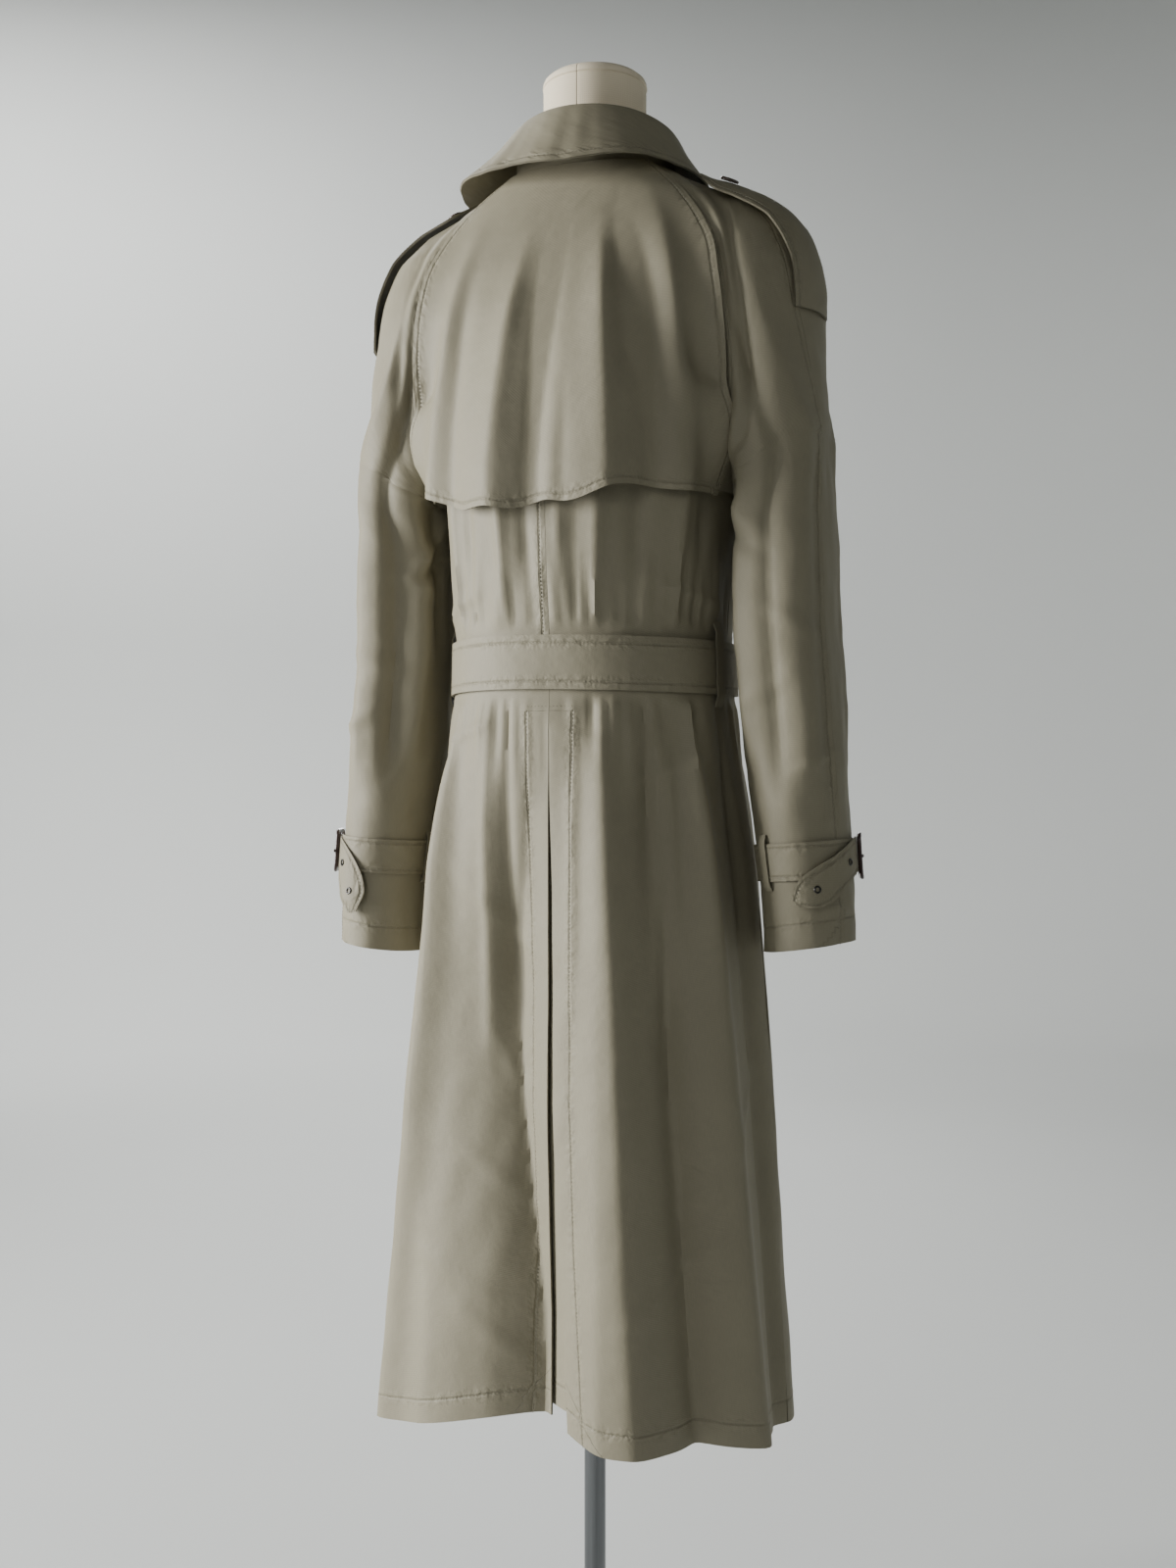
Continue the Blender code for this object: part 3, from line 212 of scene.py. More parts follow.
# columns: side, angleTop, zTop, angleLow, zLow, height, halfWidth, lean
sleeveFolds = [
    (1, 98, 0.46, 106, -0.02, -0.0125, 0.012, 0.3), (1, 72, 0.50, 70, -0.02, 0.0080, 0.013, 0.0),
    (1, 124, 0.40, 128, 0.00, 0.0080, 0.012, 0.0), (1, 146, 0.32, 150, 0.10, -0.0080, 0.010, 0.0),
    (1, 52, 0.36, 50, 0.02, -0.0050, 0.010, 0.0), (-1, 84, 0.54, 94, -0.03, -0.0110, 0.013, -0.2),
    (-1, 60, 0.50, 64, -0.04, 0.0040, 0.014, 0.0), (-1, 112, 0.54, 122, 0.00, 0.0085, 0.013, 0.3),
    (-1, 136, 0.36, 142, 0.10, -0.0100, 0.011, 0.0), (-1, 44, 0.34, 46, -0.04, -0.0045, 0.008, 0.0),
    (1, -70, 0.46, -74, 0.00, -0.0120, 0.013, 0.0), (-1, -72, 0.46, -70, 0.02, -0.0120, 0.013, 0.0),
    (1, -94, 0.40, -96, 0.02, 0.0080, 0.012, 0.0), (-1, -92, 0.40, -94, 0.02, 0.0080, 0.012, 0.0),
    (1, -124, 0.32, -122, 0.04, -0.0070, 0.012, 0.0), (-1, -120, 0.32, -124, 0.04, -0.0070, 0.012, 0.0),
    (1, -30, 0.40, -34, 0.00, 0.0050, 0.012, 0.0), (-1, -32, 0.38, -30, 0.00, 0.0050, 0.012, 0.0)]
# Short creases across the cloth. columns: side, angle, z, run (degrees), rise, height, halfWidth
sleeveCreases = [
    (1, 144, 0.245, 30, 0.030, 0.0048, 0.0075), (1, 142, 0.222, 28, 0.022, -0.0040, 0.0070),
    (1, 126, 0.200, 34, -0.018, 0.0024, 0.0080), (-1, 124, 0.262, 40, 0.034, 0.0036, 0.0095),
    (-1, 122, 0.236, 36, 0.026, -0.0032, 0.0085), (-1, 70, 0.150, 34, 0.020, 0.0020, 0.0090),
    (-1, 96, 0.092, 30, -0.016, 0.0018, 0.0080), (1, 80, 0.128, 36, -0.020, 0.0020, 0.0090),
    (1, 66, 0.060, 32, 0.018, 0.0024, 0.0065), (-1, 60, 0.020, 30, -0.012, 0.0022, 0.0060),
    (-1, 40, -0.118, 26, 0.008, 0.0016, 0.0050), (1, 90, -0.120, 30, -0.008, 0.0016, 0.0050),
    (1, -90, 0.20, 44, 0.02, 0.0040, 0.0080), (-1, -90, 0.21, 44, -0.02, 0.0040, 0.0080),
    (1, -80, 0.12, 36, -0.02, 0.0030, 0.0070), (-1, -84, 0.11, 36, 0.02, 0.0030, 0.0070)]
# Slack lines on the body. columns: angle, z, run (degrees), rise, height, halfWidth
bodyCreases = [
    (28, -0.12, 22, 0.050, 0.0014, 0.010), (20, -0.27, 16, 0.060, 0.0012, 0.012),
    (22, -0.375, 20, 0.034, 0.0016, 0.010), (36, -0.47, 18, 0.020, 0.0016, 0.010),
    (-52, 0.018, 22, -0.020, 0.0018, 0.007),
    (-12, 0.045, 14, 0.008, 0.0016, 0.005), (40, 0.052, 18, -0.010, 0.0020, 0.006),
    (-62, 0.180, 24, 0.012, 0.0022, 0.006), (52, 0.175, 22, -0.014, 0.0022, 0.006),
    (22, -0.52, 18, 0.030, 0.0020, 0.012), (-44, -0.46, 20, -0.050, 0.0018, 0.009),
    (-74, -0.30, 16, -0.060, 0.0022, 0.008)]


def foldHeight(folds, angle, z, radius, fadeIn=0.05, fadeOut=0.08, spread=1.0):
    # long folds, each fading in below its top and out above its lower end
    total = np.zeros(np.broadcast(angle, z).shape)
    for top, zTop, low, zLow, height, halfWidth, lean in folds:
        run = (zTop - z) / (zTop - zLow)
        across = np.radians((angle - top - (low - top) * run + 180.0) % 360.0 - 180.0) * radius
        width = halfWidth * (1.0 + lean * np.tanh(across / halfWidth)) * spread
        width = width * (0.75 + 0.35 * np.clip(run, 0, 1))
        ends = 1.0 if zLow < -0.65 else smooth(zLow, zLow + fadeOut, z)
        fade = smooth(zTop, zTop - fadeIn, z) * (0.62 + 0.38 * np.clip(run, 0, 1)) * ends
        total = total + height * spread * fade * np.exp(-np.abs(across / width) ** 1.6)
    return total


# Valley beside the slit. columns: z from the hem up, angle of its bottom
ventValley = np.array([(-0.70, 0.0), (-0.50, 3.0), (-0.40, 9.0), (-0.32, 14.0), (-0.23, 18.0), (-0.14, 17.0),
                       (-0.05, 11.0), (0.08, 6.0)])


def ventHeight(angle, z):
    # the cloth sinks in one valley that wanders off the slit onto the left panel
    bottom = np.interp(z, ventValley[:, 0], ventValley[:, 1])
    across = np.radians(angle - bottom) * 0.165
    rise = np.where(across > 0, 1.0 - across / 0.120, 1.0 + across / (np.radians(bottom + 21.0) * 0.165))
    return -0.046 * smooth(0.075, -0.24, z) * np.clip(rise, 0.0, 1.0) ** 1.25


def creaseHeight(creases, angle, z):
    # short soft lines that cross the cloth
    total = np.zeros(np.broadcast(angle, z).shape)
    for mid, midZ, run, rise, height, halfWidth in creases:
        t = ((angle - mid + 180.0) % 360.0 - 180.0) / run
        across = z - midZ - rise * t
        total = total + height * np.exp(-(across / halfWidth) ** 2) * np.exp(-(t * 1.25) ** 4)
    return total


def hemDrop(angle):
    # how far the hem hangs below its plain level, by angle
    left = 0.045 * smooth(0, 80, angle) - 0.015 * smooth(90, 180, angle)
    right = 0.018 * smooth(0, 25, -angle) + 0.014 * smooth(45, 100, -angle)
    return np.where(angle > 0, left, right)


def bodyRelief(angle, z, seed=1):
    # everything that the plain sections leave out, in metres along the normal
    u, v = np.radians(angle) * 0.16, z
    free = np.maximum(np.maximum(z - beltHigh - 0.004, beltLow - 0.004 - z), 0.0)   # distance from the belt
    quiet = smooth(0.0, 0.014, free)
    spread = 0.36 + 0.64 * smooth(0.0, 0.13, free)
    height = foldHeight(skirtFolds, angle, z, 0.17, 0.01, 0.13, spread)
    height += foldHeight(waistFolds, angle, z, 0.14, 0.07, 0.04, spread)
    height += ventHeight(angle, z)
    gather = smooth(-0.02, 0.06, z) * smooth(0.24, 0.17, z)
    height += 0.0022 * gather * ripple(u, v * 0.1, 0.020, 5)
    height += creaseHeight(bodyCreases, angle, z)
    height += 0.0011 * ripple(u, v, 0.085, seed, 5.0) + 0.0004 * ripple(u, v, 0.034, seed + 9, 2.5)
    return height * quiet


def sleeveRelief(side, angle, z):
    # folds of one sleeve, pressed flat under the cuff strap
    rows = [row[1:] for row in sleeveFolds if row[0] == side]
    creases = [row[1:] for row in sleeveCreases if row[0] == side]
    u = np.radians(angle) * 0.065
    height = foldHeight(rows, angle, z, 0.065) + creaseHeight(creases, angle, z)
    height += 0.0012 * ripple(u, z, 0.075, 21 + side, 2.2) + 0.0005 * ripple(u, z, 0.028, 31 + side, 1.3)
    return height * (1.0 - 0.85 * smooth(-0.035, -0.055, z) * smooth(-0.115, -0.092, z))


def armholeRows():
    # ring centres and directions, with the seam's points behind and in front
    rows = []
    for seamX, seamZ, reach, angle in armholeTable:
        seam = np.array([seamX, 0.0, seamZ])
        span = np.linalg.norm(seam - pivot)
        out = (seam - pivot) / span
        centre = pivot + out * (span + reach)
        points = []
        for side in (1.0, -1.0):
            if angle is None:
                points.append(cast(seam, np.array([0.0, side, 0.0]), coatField))
            else:
                a = math.radians(angle)
                ray = out * math.cos(a) + np.array([0.0, side * math.sin(a), 0.0])
                points.append(cast(centre, ray, sleeveField))
        rows.append((centre, out, points[0], points[1]))
    return [np.array([row[i] for row in rows]) for i in range(4)]


ringCentres, ringOuts, seamBack, seamFront = armholeRows()
upperSteps = np.linspace(len(armholeTable) - 1, 0, int(round(0.40 / pitch)))   # neck to underarm


def rayOf(angle):
    a = np.radians(angle)
    return np.stack([np.sin(a), np.cos(a), np.zeros_like(a)], axis=-1)


def bodyPoint(angle, z, field):
    origin = np.stack([np.zeros_like(angle), np.zeros_like(angle), z], axis=-1)
    p = cast(origin, rayOf(np.abs(angle)), field)
    n = slopeOf(p, field)
    flip = np.where(angle < 0, -1.0, 1.0)
    p[..., 0] *= flip
    n[..., 0] *= flip
    return p, n


def mirrored(side, *grids):
    for grid in grids:
        grid[..., 0] *= side
    return grids


def bodyQuarter(side, front, edgeAt, lowRows, columns, upTo=0.0, lowStop=90.0):
    # base points, normals and angles of a quarter of the body, top row first
    t = np.linspace(0.0, 1.0, columns)
    steps = upperSteps[upperSteps >= upTo]
    seams = spline(seamFront if front else seamBack, steps)
    seamAngle = np.degrees(np.arctan2(seams[:, 0], seams[:, 1]))
    heights = seams[:, 2]
    start = np.array([edgeAt(z) for z in heights])
    upperAngle = start[:, None] + (seamAngle - start)[:, None] * t
    upperZ = np.repeat(heights[:, None], columns, axis=1)
    p, n = bodyPoint(upperAngle, upperZ, coatField)
    snap = (seams - p[:, -1])[:, None, :] * smooth(0.72, 1.0, t)[None, :, None]
    p = p + snap
    start = np.array([edgeAt(z) for z in lowRows])
    sign = 1.0 if front else -1.0
    stop = lowStop + sign * math.degrees(seamGap / 0.15)
    lowAngle = start[:, None] + (stop - start)[:, None] * t
    lowZ = lowRows[:, None] - hemDrop(lowAngle * side) * smooth(-0.20, hemZ, lowRows)[:, None]
    q, m = bodyPoint(lowAngle, lowZ, bodyField)
    if upTo == 0.0:
        q = q + m * (0.006 * smooth(0.22, 0.285, lowZ) * smooth(0.75, 1.0, t)[None, :])[..., None]
    p, n = np.concatenate([p, q]), np.concatenate([n, m])
    angle = np.concatenate([upperAngle, lowAngle]) * side
    return *mirrored(side, p, n), angle, t


def arcs(points, axis):
    # length run along one axis of a grid
    step = np.linalg.norm(np.diff(points, axis=axis), axis=-1)
    pad = np.zeros_like(np.take(step, [0], axis=axis))
    return np.concatenate([pad, np.cumsum(step, axis=axis)], axis=axis)


def edgeDistances(points):
    down, along = arcs(points, 0), arcs(points, 1)
    return {"top": down, "bottom": down[-1:] - down, "start": along, "stop": along[:, -1:] - along}


def lineAlong(points, normals, edge, inset, zRange=None):
    # points and normals of a line at a set distance from one edge of a grid
    grid = points if edge in ("top", "bottom") else points.transpose(1, 0, 2)
    side = normals if edge in ("top", "bottom") else normals.transpose(1, 0, 2)
    if edge in ("bottom", "stop"):
        grid, side = grid[::-1], side[::-1]
    run = arcs(grid, 0)
    row = np.clip(np.sum(run <= inset, axis=0) - 1, 0, len(grid) - 2)
    cols = np.arange(grid.shape[1])
    share = (inset - run[row, cols]) / np.maximum(run[row + 1, cols] - run[row, cols], 1e-9)
    line = grid[row, cols] + (grid[row + 1, cols] - grid[row, cols]) * share[:, None]
    up = side[row, cols]
    if zRange:
        keep = (line[:, 2] >= zRange[0]) & (line[:, 2] <= zRange[1])
        line, up = line[keep], up[keep]
    return line, up


stitchLines = []      # every topstitched line: points, normals
pieceBody = "root"


def place(name, mesh, look):
    # one finished piece at the origin, on the only body
    mesh.materials.append(look)
    made = bpy.data.objects.new(name, mesh)
    bpy.context.scene.collection.objects.link(made)
    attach(made, pieceBody)
    return made


def stitchField(points, stitched):
    # signed distance of each grid point to the nearest stitch line
    distance = edgeDistances(points)
    best = np.full(points.shape[:2], 0.2)
    for edge, inset, *zRange in stitched:
        signed = distance[edge] - inset
        if zRange:
            z = points[..., 2]
            signed = np.where((z > zRange[0]) & (z < zRange[1]), signed, 0.2)
        best = np.where(np.abs(signed) < np.abs(best), signed, best)
    return best


def buildWall(name, outer, inner, look, stitched=(), closed=False):
    # closed shell between two grids, with a flat map and the distance to its stitching
    rows, cols = outer.shape[:2]
    count = rows * cols
    index = np.arange(count).reshape(rows, cols)
    across = np.roll(index, -1, axis=1) if closed else index[:, 1:]
    near = index if closed else index[:, :-1]
    a, b, c, d = near[:-1], across[:-1], across[1:], near[1:]
    front = np.stack([a, b, c, d], axis=-1).reshape(-1, 4)
    back = np.stack([a, d, c, b], axis=-1).reshape(-1, 4) + count
    rims = []
    for row, flip in ((0, False), (rows - 1, True)):
        e, f = near[row], across[row]
        quad = np.stack([e, e + count, f + count, f], axis=-1)
        rims.append(quad[:, ::-1] if flip else quad)
    if not closed:
        for col, flip in ((0, False), (cols - 1, True)):
            e, f = index[:-1, col], index[1:, col]
            quad = np.stack([e, f, f + count, e + count], axis=-1)
            rims.append(quad[:, ::-1] if flip else quad)
    faces = np.concatenate([front, back] + rims)
    vertices = np.concatenate([outer.reshape(-1, 3), inner.reshape(-1, 3)]) + floorUp
    mesh = bpy.data.meshes.new(name)
    mesh.from_pydata(vertices.tolist(), [], faces.tolist())
    u, v = arcs(outer, 1), arcs(outer, 0)
    flat = np.stack([u, v], axis=-1).reshape(-1, 2)
    flat = np.concatenate([flat, flat + 0.37])
    loops = np.empty(len(mesh.loops), dtype=np.int32)
    mesh.loops.foreach_get("vertex_index", loops)
    layer = mesh.uv_layers.new(name="cloth")
    layer.data.foreach_set("uv", flat[loops].astype(np.float32).ravel())
    near = stitchField(outer, stitched) if stitched else np.full(outer.shape[:2], 0.2)
    values = np.concatenate([near.ravel(), np.full(count, 0.2)]).astype(np.float32)
    mesh.attributes.new("stitchDistance", "FLOAT", "POINT").data.foreach_set("value", values)
    work = bmesh.new()
    work.from_mesh(mesh)
    bmesh.ops.recalc_face_normals(work, faces=work.faces)
    work.to_mesh(mesh)
    work.free()
    mesh.shade_smooth()
    mesh.set_sharp_from_angle(angle=math.radians(52))
    return place(name + "_cloth", mesh, look)


def clothPiece(name, points, outward, stitched=(), closed=False, wall=clothWall):
    # a thin shell whose outer face is the grid; its measured flat size and area are printed
    normals = gridNormals(points, outward)
    made = buildWall(name, points, points - normals * wall, gabardine, stitched, closed)
    for edge, inset, *zRange in stitched:
        stitchLines.append(lineAlong(points, normals, edge, inset, zRange or None))
    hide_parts(name)
    loop = np.concatenate([points, points[:, :1]], axis=1) if closed else points
    wide = float(np.max(arcs(loop, 1)[:, -1]))
    long = float(np.max(arcs(loop, 0)[-1]))
    a, b = loop[1:, 1:] - loop[:-1, :-1], loop[1:, :-1] - loop[:-1, 1:]
    area = float(np.sum(np.linalg.norm(np.cross(a, b), axis=-1)) / 2)
    area = min(max(area, 0.31 * wide * long), wide * long)
    print("piece:", name, "flat", round(wide, 3), "x", round(long, 3), "area", round(area, 4))
    return made


def linear(code):
    # sRGB hex to linear colour
    values = [int(code[i:i + 2], 16) / 255 for i in (1, 3, 5)]
    return [v / 12.92 if v <= 0.04045 else ((v + 0.055) / 1.055) ** 2.4 for v in values] + [1.0]


def addNode(tree, kind, settings=None, **values):
    # one node with its settings; values are sockets to link or plain values, by name or as in0, in1
    node = tree.nodes.new(kind)
    for key, value in (settings or {}).items():
        setattr(node, key, value)
    for key, value in values.items():
        where = int(key[2:]) if key.startswith("in") and key[2:].isdigit() else key.replace("_", " ")
        if isinstance(value, bpy.types.NodeSocket):
            tree.links.new(value, node.inputs[where])
        else:
            node.inputs[where].default_value = value
    return node


def setShader(shader, **values):
    for key, value in values.items():
        shader.inputs[key.replace("_", " ")].default_value = value


def newMaterial(name):
    made = bpy.data.materials.new(name)
    made.use_nodes = True
    tree = made.node_tree
    tree.nodes.clear()
    shader = addNode(tree, "ShaderNodeBsdfPrincipled")
    addNode(tree, "ShaderNodeOutputMaterial", Surface=shader.outputs[0])
    return made, tree, shader


def mathNode(tree, operation, a, b=0.0, c=0.0):
    return addNode(tree, "ShaderNodeMath", {"operation": operation}, in0=a, in1=b, in2=c).outputs[0]


def mixColour(tree, share, a, b, blend="MIX"):
    node = addNode(tree, "ShaderNodeMix", {"data_type": "RGBA", "blend_type": blend}, in0=share, in6=a, in7=b)
    return node.outputs[2]


def nearLine(tree, distance, reach):
    # 1 on a line, falling to 0 at the reach
    return addNode(tree, "ShaderNodeMapRange", {"interpolation_type": "SMOOTHSTEP"}, Value=distance,
                   From_Min=0.0, From_Max=reach, To_Min=1.0, To_Max=0.0).outputs[0]


# Patterns are in millimetres of real cloth. The twill is drawn coarser than its 0.4 mm, so that it shows.
# The gabardine's seam colour is painted shade, mixed into the groove along each stitch line.
gabardineChoice = {
    "light": "#8e8873", "dark": "#807a67", "seam": "#696454",
    "roughness": 0.62, "specular": 0.36, "sheen": 0.12,
    "twill": 0.9, "twillTurn": 63.0, "twillHeight": 0.00004,
    "slubWide": 1.111, "slubLong": 9.09, "slubDark": 0.92, "slubRange": 0.16,
    "cloud": 142.86, "lump": 38.46, "lumpHeight": 0.0014,
    "pucker": 9.524, "puckerReach": 0.011, "puckerHeight": 0.0022,
    "grooveReach": 0.0022, "grooveDepth": 0.0006, "grooveShade": 0.16}


def makeGabardine(name, choice):
    # Cotton gabardine, woven as a steep fine twill: a flat, dense cloth with a faint sheen on its folds,
    # slightly streaked by uneven threads and puckered along its topstitching, whose groove gets painted
    # shade.
    made, tree, shader = newMaterial(name)
    uv = addNode(tree, "ShaderNodeUVMap", {"uv_map": "cloth"}).outputs[0]
    spot = addNode(tree, "ShaderNodeTexCoord").outputs["Object"]
    twill = addNode(tree, "ShaderNodeMapping", Vector=uv, Rotation=(0, 0, math.radians(choice["twillTurn"])))
    lines = addNode(tree, "ShaderNodeTexWave", {"wave_type": "BANDS", "bands_direction": "X"},
                    Vector=twill.outputs[0], Scale=1000.0 / choice["twill"] / (2 * math.pi), Distortion=0.6,
                    Detail=1.0).outputs["Fac"]
    slub = addNode(tree, "ShaderNodeMapping", Vector=uv,
                   Scale=(1000.0 / choice["slubWide"], 1000.0 / choice["slubLong"], 1.0)).outputs[0]
    slubs = addNode(tree, "ShaderNodeTexNoise", Vector=slub, Scale=1.0, Detail=2.0).outputs["Fac"]
    cloud = addNode(tree, "ShaderNodeTexNoise", Vector=spot, Scale=1000.0 / choice["cloud"], Detail=4.0,
                    Roughness=0.6).outputs["Fac"]
    base = mixColour(tree, cloud, linear(choice["dark"]), linear(choice["light"]))
    thread = mathNode(tree, "MULTIPLY_ADD", slubs, choice["slubRange"], choice["slubDark"])
    base = mixColour(tree, 1.0, base, thread, "MULTIPLY")
    distance = addNode(tree, "ShaderNodeAttribute", {"attribute_name": "stitchDistance"}).outputs["Fac"]
    away = mathNode(tree, "ABSOLUTE", distance)
    groove = nearLine(tree, away, choice["grooveReach"])
    near = nearLine(tree, away, choice["puckerReach"])
    # painted shade: the groove along each stitch line is darkened towards the seam colour
    base = mixColour(tree, mathNode(tree, "MULTIPLY", groove, choice["grooveShade"]), base,
                     linear(choice["seam"]))
    tree.links.new(base, shader.inputs["Base Color"])
    setShader(shader, Roughness=choice["roughness"], Specular_IOR_Level=choice["specular"],
              Sheen_Weight=choice["sheen"], Sheen_Roughness=0.45, Sheen_Tint=linear(choice["light"]))
    pucker = addNode(tree, "ShaderNodeTexNoise", Vector=uv, Scale=1000.0 / choice["pucker"], Detail=2.0,
                     Roughness=0.55).outputs["Fac"]
    puckered = mathNode(tree, "MULTIPLY", mathNode(tree, "SUBTRACT", pucker, 0.5), near)
    height = addNode(tree, "ShaderNodeTexNoise", Vector=uv, Scale=1000.0 / choice["lump"], Detail=3.0,
                     Roughness=0.5).outputs["Fac"]
    height = mathNode(tree, "MULTIPLY", height, choice["lumpHeight"])
    for layer, size in ((puckered, choice["puckerHeight"]), (groove, -choice["grooveDepth"]),
                        (lines, choice["twillHeight"])):
        height = mathNode(tree, "MULTIPLY_ADD", layer, size, height)
    bump = addNode(tree, "ShaderNodeBump", Height=height, Strength=1.0, Distance=1.0)
    tree.links.new(bump.outputs[0], shader.inputs["Normal"])
    return made


gabardine = makeGabardine("cotton gabardine", gabardineChoice)
print("stage: gabardine ready")


def ventEdge(side):
    # angle of a back panel's centre edge
    column = 1 if side > 0 else 2

    def edge(z):
        x = float(np.interp(z, ventTable[:, 0], ventTable[:, column])) * side
        return math.degrees(math.atan2(x, float(section(bodySections, z)[1])))
    return edge


frontChoice = {"breakZ": 0.36, "neckZ": 0.607, "overlap": 0.078, "neckReach": -0.052, "edgeStitch": 0.008}
lapelChoice = {"top": 0.590, "low": 0.372, "spread": 34.0, "rootSpread": 2.5, "lift": 0.0018, "roll": 0.0045,
               "stitch": 0.007}


def frontEdge(z):
    # angle of the front's free edge: past the centre below the break, back to the neck above it
    breakZ, reach = frontChoice["breakZ"], frontChoice["overlap"]
    if z > breakZ:
        share = (z - breakZ) / (frontChoice["neckZ"] - breakZ)
        reach = reach + (frontChoice["neckReach"] - reach) * share
    return math.degrees(math.atan2(-reach, -float(section(bodySections, z)[2]))) % 360.0


def frontTuck(points, side):
    # the left front lies one layer deeper under the right one
    across = points[..., 0] * side
    return -0.0064 * smooth(0.108, 0.084, across) * smooth(0.60, 0.54, points[..., 2])


def seamKeep(points, t):
    # no folds where a panel meets its sleeve
    return np.where(points[..., 2] > 0.285, smooth(0.0, 0.10, 1.0 - t)[None, :], 1.0)


def frontCalm(angle):
    # shallower folds near the buttons
    return 0.25 + 0.75 * smooth(0.02, 0.12, np.abs(np.abs(angle) - 180.0) / 180.0)


lowRows = np.linspace(0.281, hemZ, int(0.881 / pitch))   # underarm to hem
panelChoice = {"hemStitch": 0.022, "ventStitch": 0.0235, "seamStitch": 0.0065, "backWidth": 0.262,
               "frontWidth": 0.33}


def buildBacks():
    for side, name in ((1.0, "back_left"), (-1.0, "back_right")):
        p, n, angle, t = bodyQuarter(side, False, ventEdge(side), lowRows,
                                     int(panelChoice["backWidth"] / pitch))
        relief = bodyRelief(angle, p[..., 2]) * seamKeep(p, t)
        free = smooth(ventTop, -0.05, p[..., 2]) * smooth(0.030, 0.0, arcs(p, 1))
        relief += free * (0.003 if side < 0 else 0.0012)
        p = p + n * relief[..., None]
        stitched = [("bottom", panelChoice["hemStitch"]),
                    ("start", panelChoice["ventStitch"], ventBottom, ventTop)]
        if side > 0:
            stitched.append(("start", panelChoice["seamStitch"], 0.10, 0.32))
        clothPiece(name, p, n, stitched)
        row = int(np.argmin(np.abs(p[:, 0, 2] - ventTop)))
        bar = arcs(p, 1)[row] <= panelChoice["ventStitch"]
        stitchLines.append((p[row, bar], gridNormals(p, n)[row, bar]))


flapChoice = {"halfAngle": 61.0, "width": 0.205, "skirtLength": 0.075, "lowEdge": 0.262, "lift": 0.0016,
              "hemStitch": 0.0068, "sideStitch": 0.006}


def buildFlap():
    # one layer over both backs, free below the shoulder blades, its edge lower on the left
    choice = flapChoice
    halves = []
    columns = int(choice["width"] / pitch)
    for side in (1.0, -1.0):
        p, n, angle, _ = bodyQuarter(side, False, lambda z: 0.0, np.array([0.300]), columns, 3.0,
                                     choice["halfAngle"])
        p, n, angle = p[:-1], n[:-1], angle[:-1]
        rows = np.linspace(0.0, 1.0, int(choice["skirtLength"] / pitch))[1:, None]
        lowEdge = choice["lowEdge"] + 0.024 * smooth(28.0, 58.0, angle[-1])
        lowEdge = lowEdge + 0.014 * smooth(5.0, 30.0, -angle[-1])
        lowEdge = lowEdge + 0.0025 * ripple(np.radians(angle[-1]) * 0.14, 0.0, 0.05, 3)
        z = p[-1, :, 2] + (lowEdge - p[-1, :, 2]) * rows
        turn = np.broadcast_to(angle[-1], z.shape)
        q, m = bodyPoint(turn, z, bodyField)
        step = (p[-1] - bodyPoint(turn[:1], p[-1:, :, 2], bodyField)[0][0])[None] * (1.0 - rows)[..., None]
        p, n = np.concatenate([p, q + step]), np.concatenate([n, m])
        angle = np.concatenate([angle, turn])
        halves.append((p, n, angle))
    p, n, angle = [np.concatenate([a[:, :0:-1], b], axis=1) for a, b in zip(*halves)]
    z = p[..., 2]
    n = n / np.linalg.norm(n, axis=-1, keepdims=True)
    free = smooth(0.54, 0.27, z)
    inside = smooth(63.0, 44.0, np.abs(angle))
    folds = foldHeight(flapFolds, angle, z, 0.13, 0.12, 0.05) * inside
    lift = clothWall + layerGap + choice["lift"] + free * (0.003 + 0.010 * inside)
    lift = lift + 0.006 * free * free * smooth(30.0, 50.0, angle)
    lift = lift + np.maximum(folds * smooth(0.61, 0.43, z), -0.0080 * free - 0.0002)
    lift = lift + 0.0006 * free * ripple(np.radians(angle) * 0.14, z, 0.045, 44, 4.0)
    p = p + n * lift[..., None]
    stitched = [("bottom", choice["hemStitch"])]
    stitched += [(edge, choice["sideStitch"]) for edge in ("start", "stop")]
    clothPiece("storm_flap", p, n, stitched)


underlayChoice = {"top": 0.060, "low": -0.585, "left": 0.030, "right": -0.060, "depth": 0.0032,
                  "stitch": 0.020}


def buildUnderlay():
    # strip that closes the slit from behind
    choice = underlayChoice
    heights = np.linspace(choice["top"], choice["low"], int(0.645 / pitch))
    across = np.linspace(choice["left"], choice["right"], int(0.09 / pitch))
    z, x = np.meshgrid(heights, across, indexing="ij")
    angle = np.degrees(np.arctan2(x, section(bodySections, z)[1]))
    p, n = bodyPoint(angle, z, bodyField)
    p = p + n * (bodyRelief(angle, z) - clothWall - choice["depth"])[..., None]
    clothPiece("vent_underlay", p, n, [("bottom", choice["stitch"])])


def buildFronts():
    for side, name in ((-1.0, "front_right"), (1.0, "front_left")):
        p, n, angle, t = bodyQuarter(side, True, frontEdge, lowRows,
                                     int(panelChoice["frontWidth"] / pitch))
        lift = bodyRelief(angle, p[..., 2], 2) * seamKeep(p, t) * frontCalm(angle)
        if side > 0:
            lift = lift + frontTuck(p, side)
        p = p + n * lift[..., None]
        stitched = [("bottom", panelChoice["hemStitch"]),
                    ("start", frontChoice["edgeStitch"], ventBottom, frontChoice["breakZ"])]
        clothPiece(name, p, n, stitched)
        buildLapel(side, "lapel_" + name[6:])


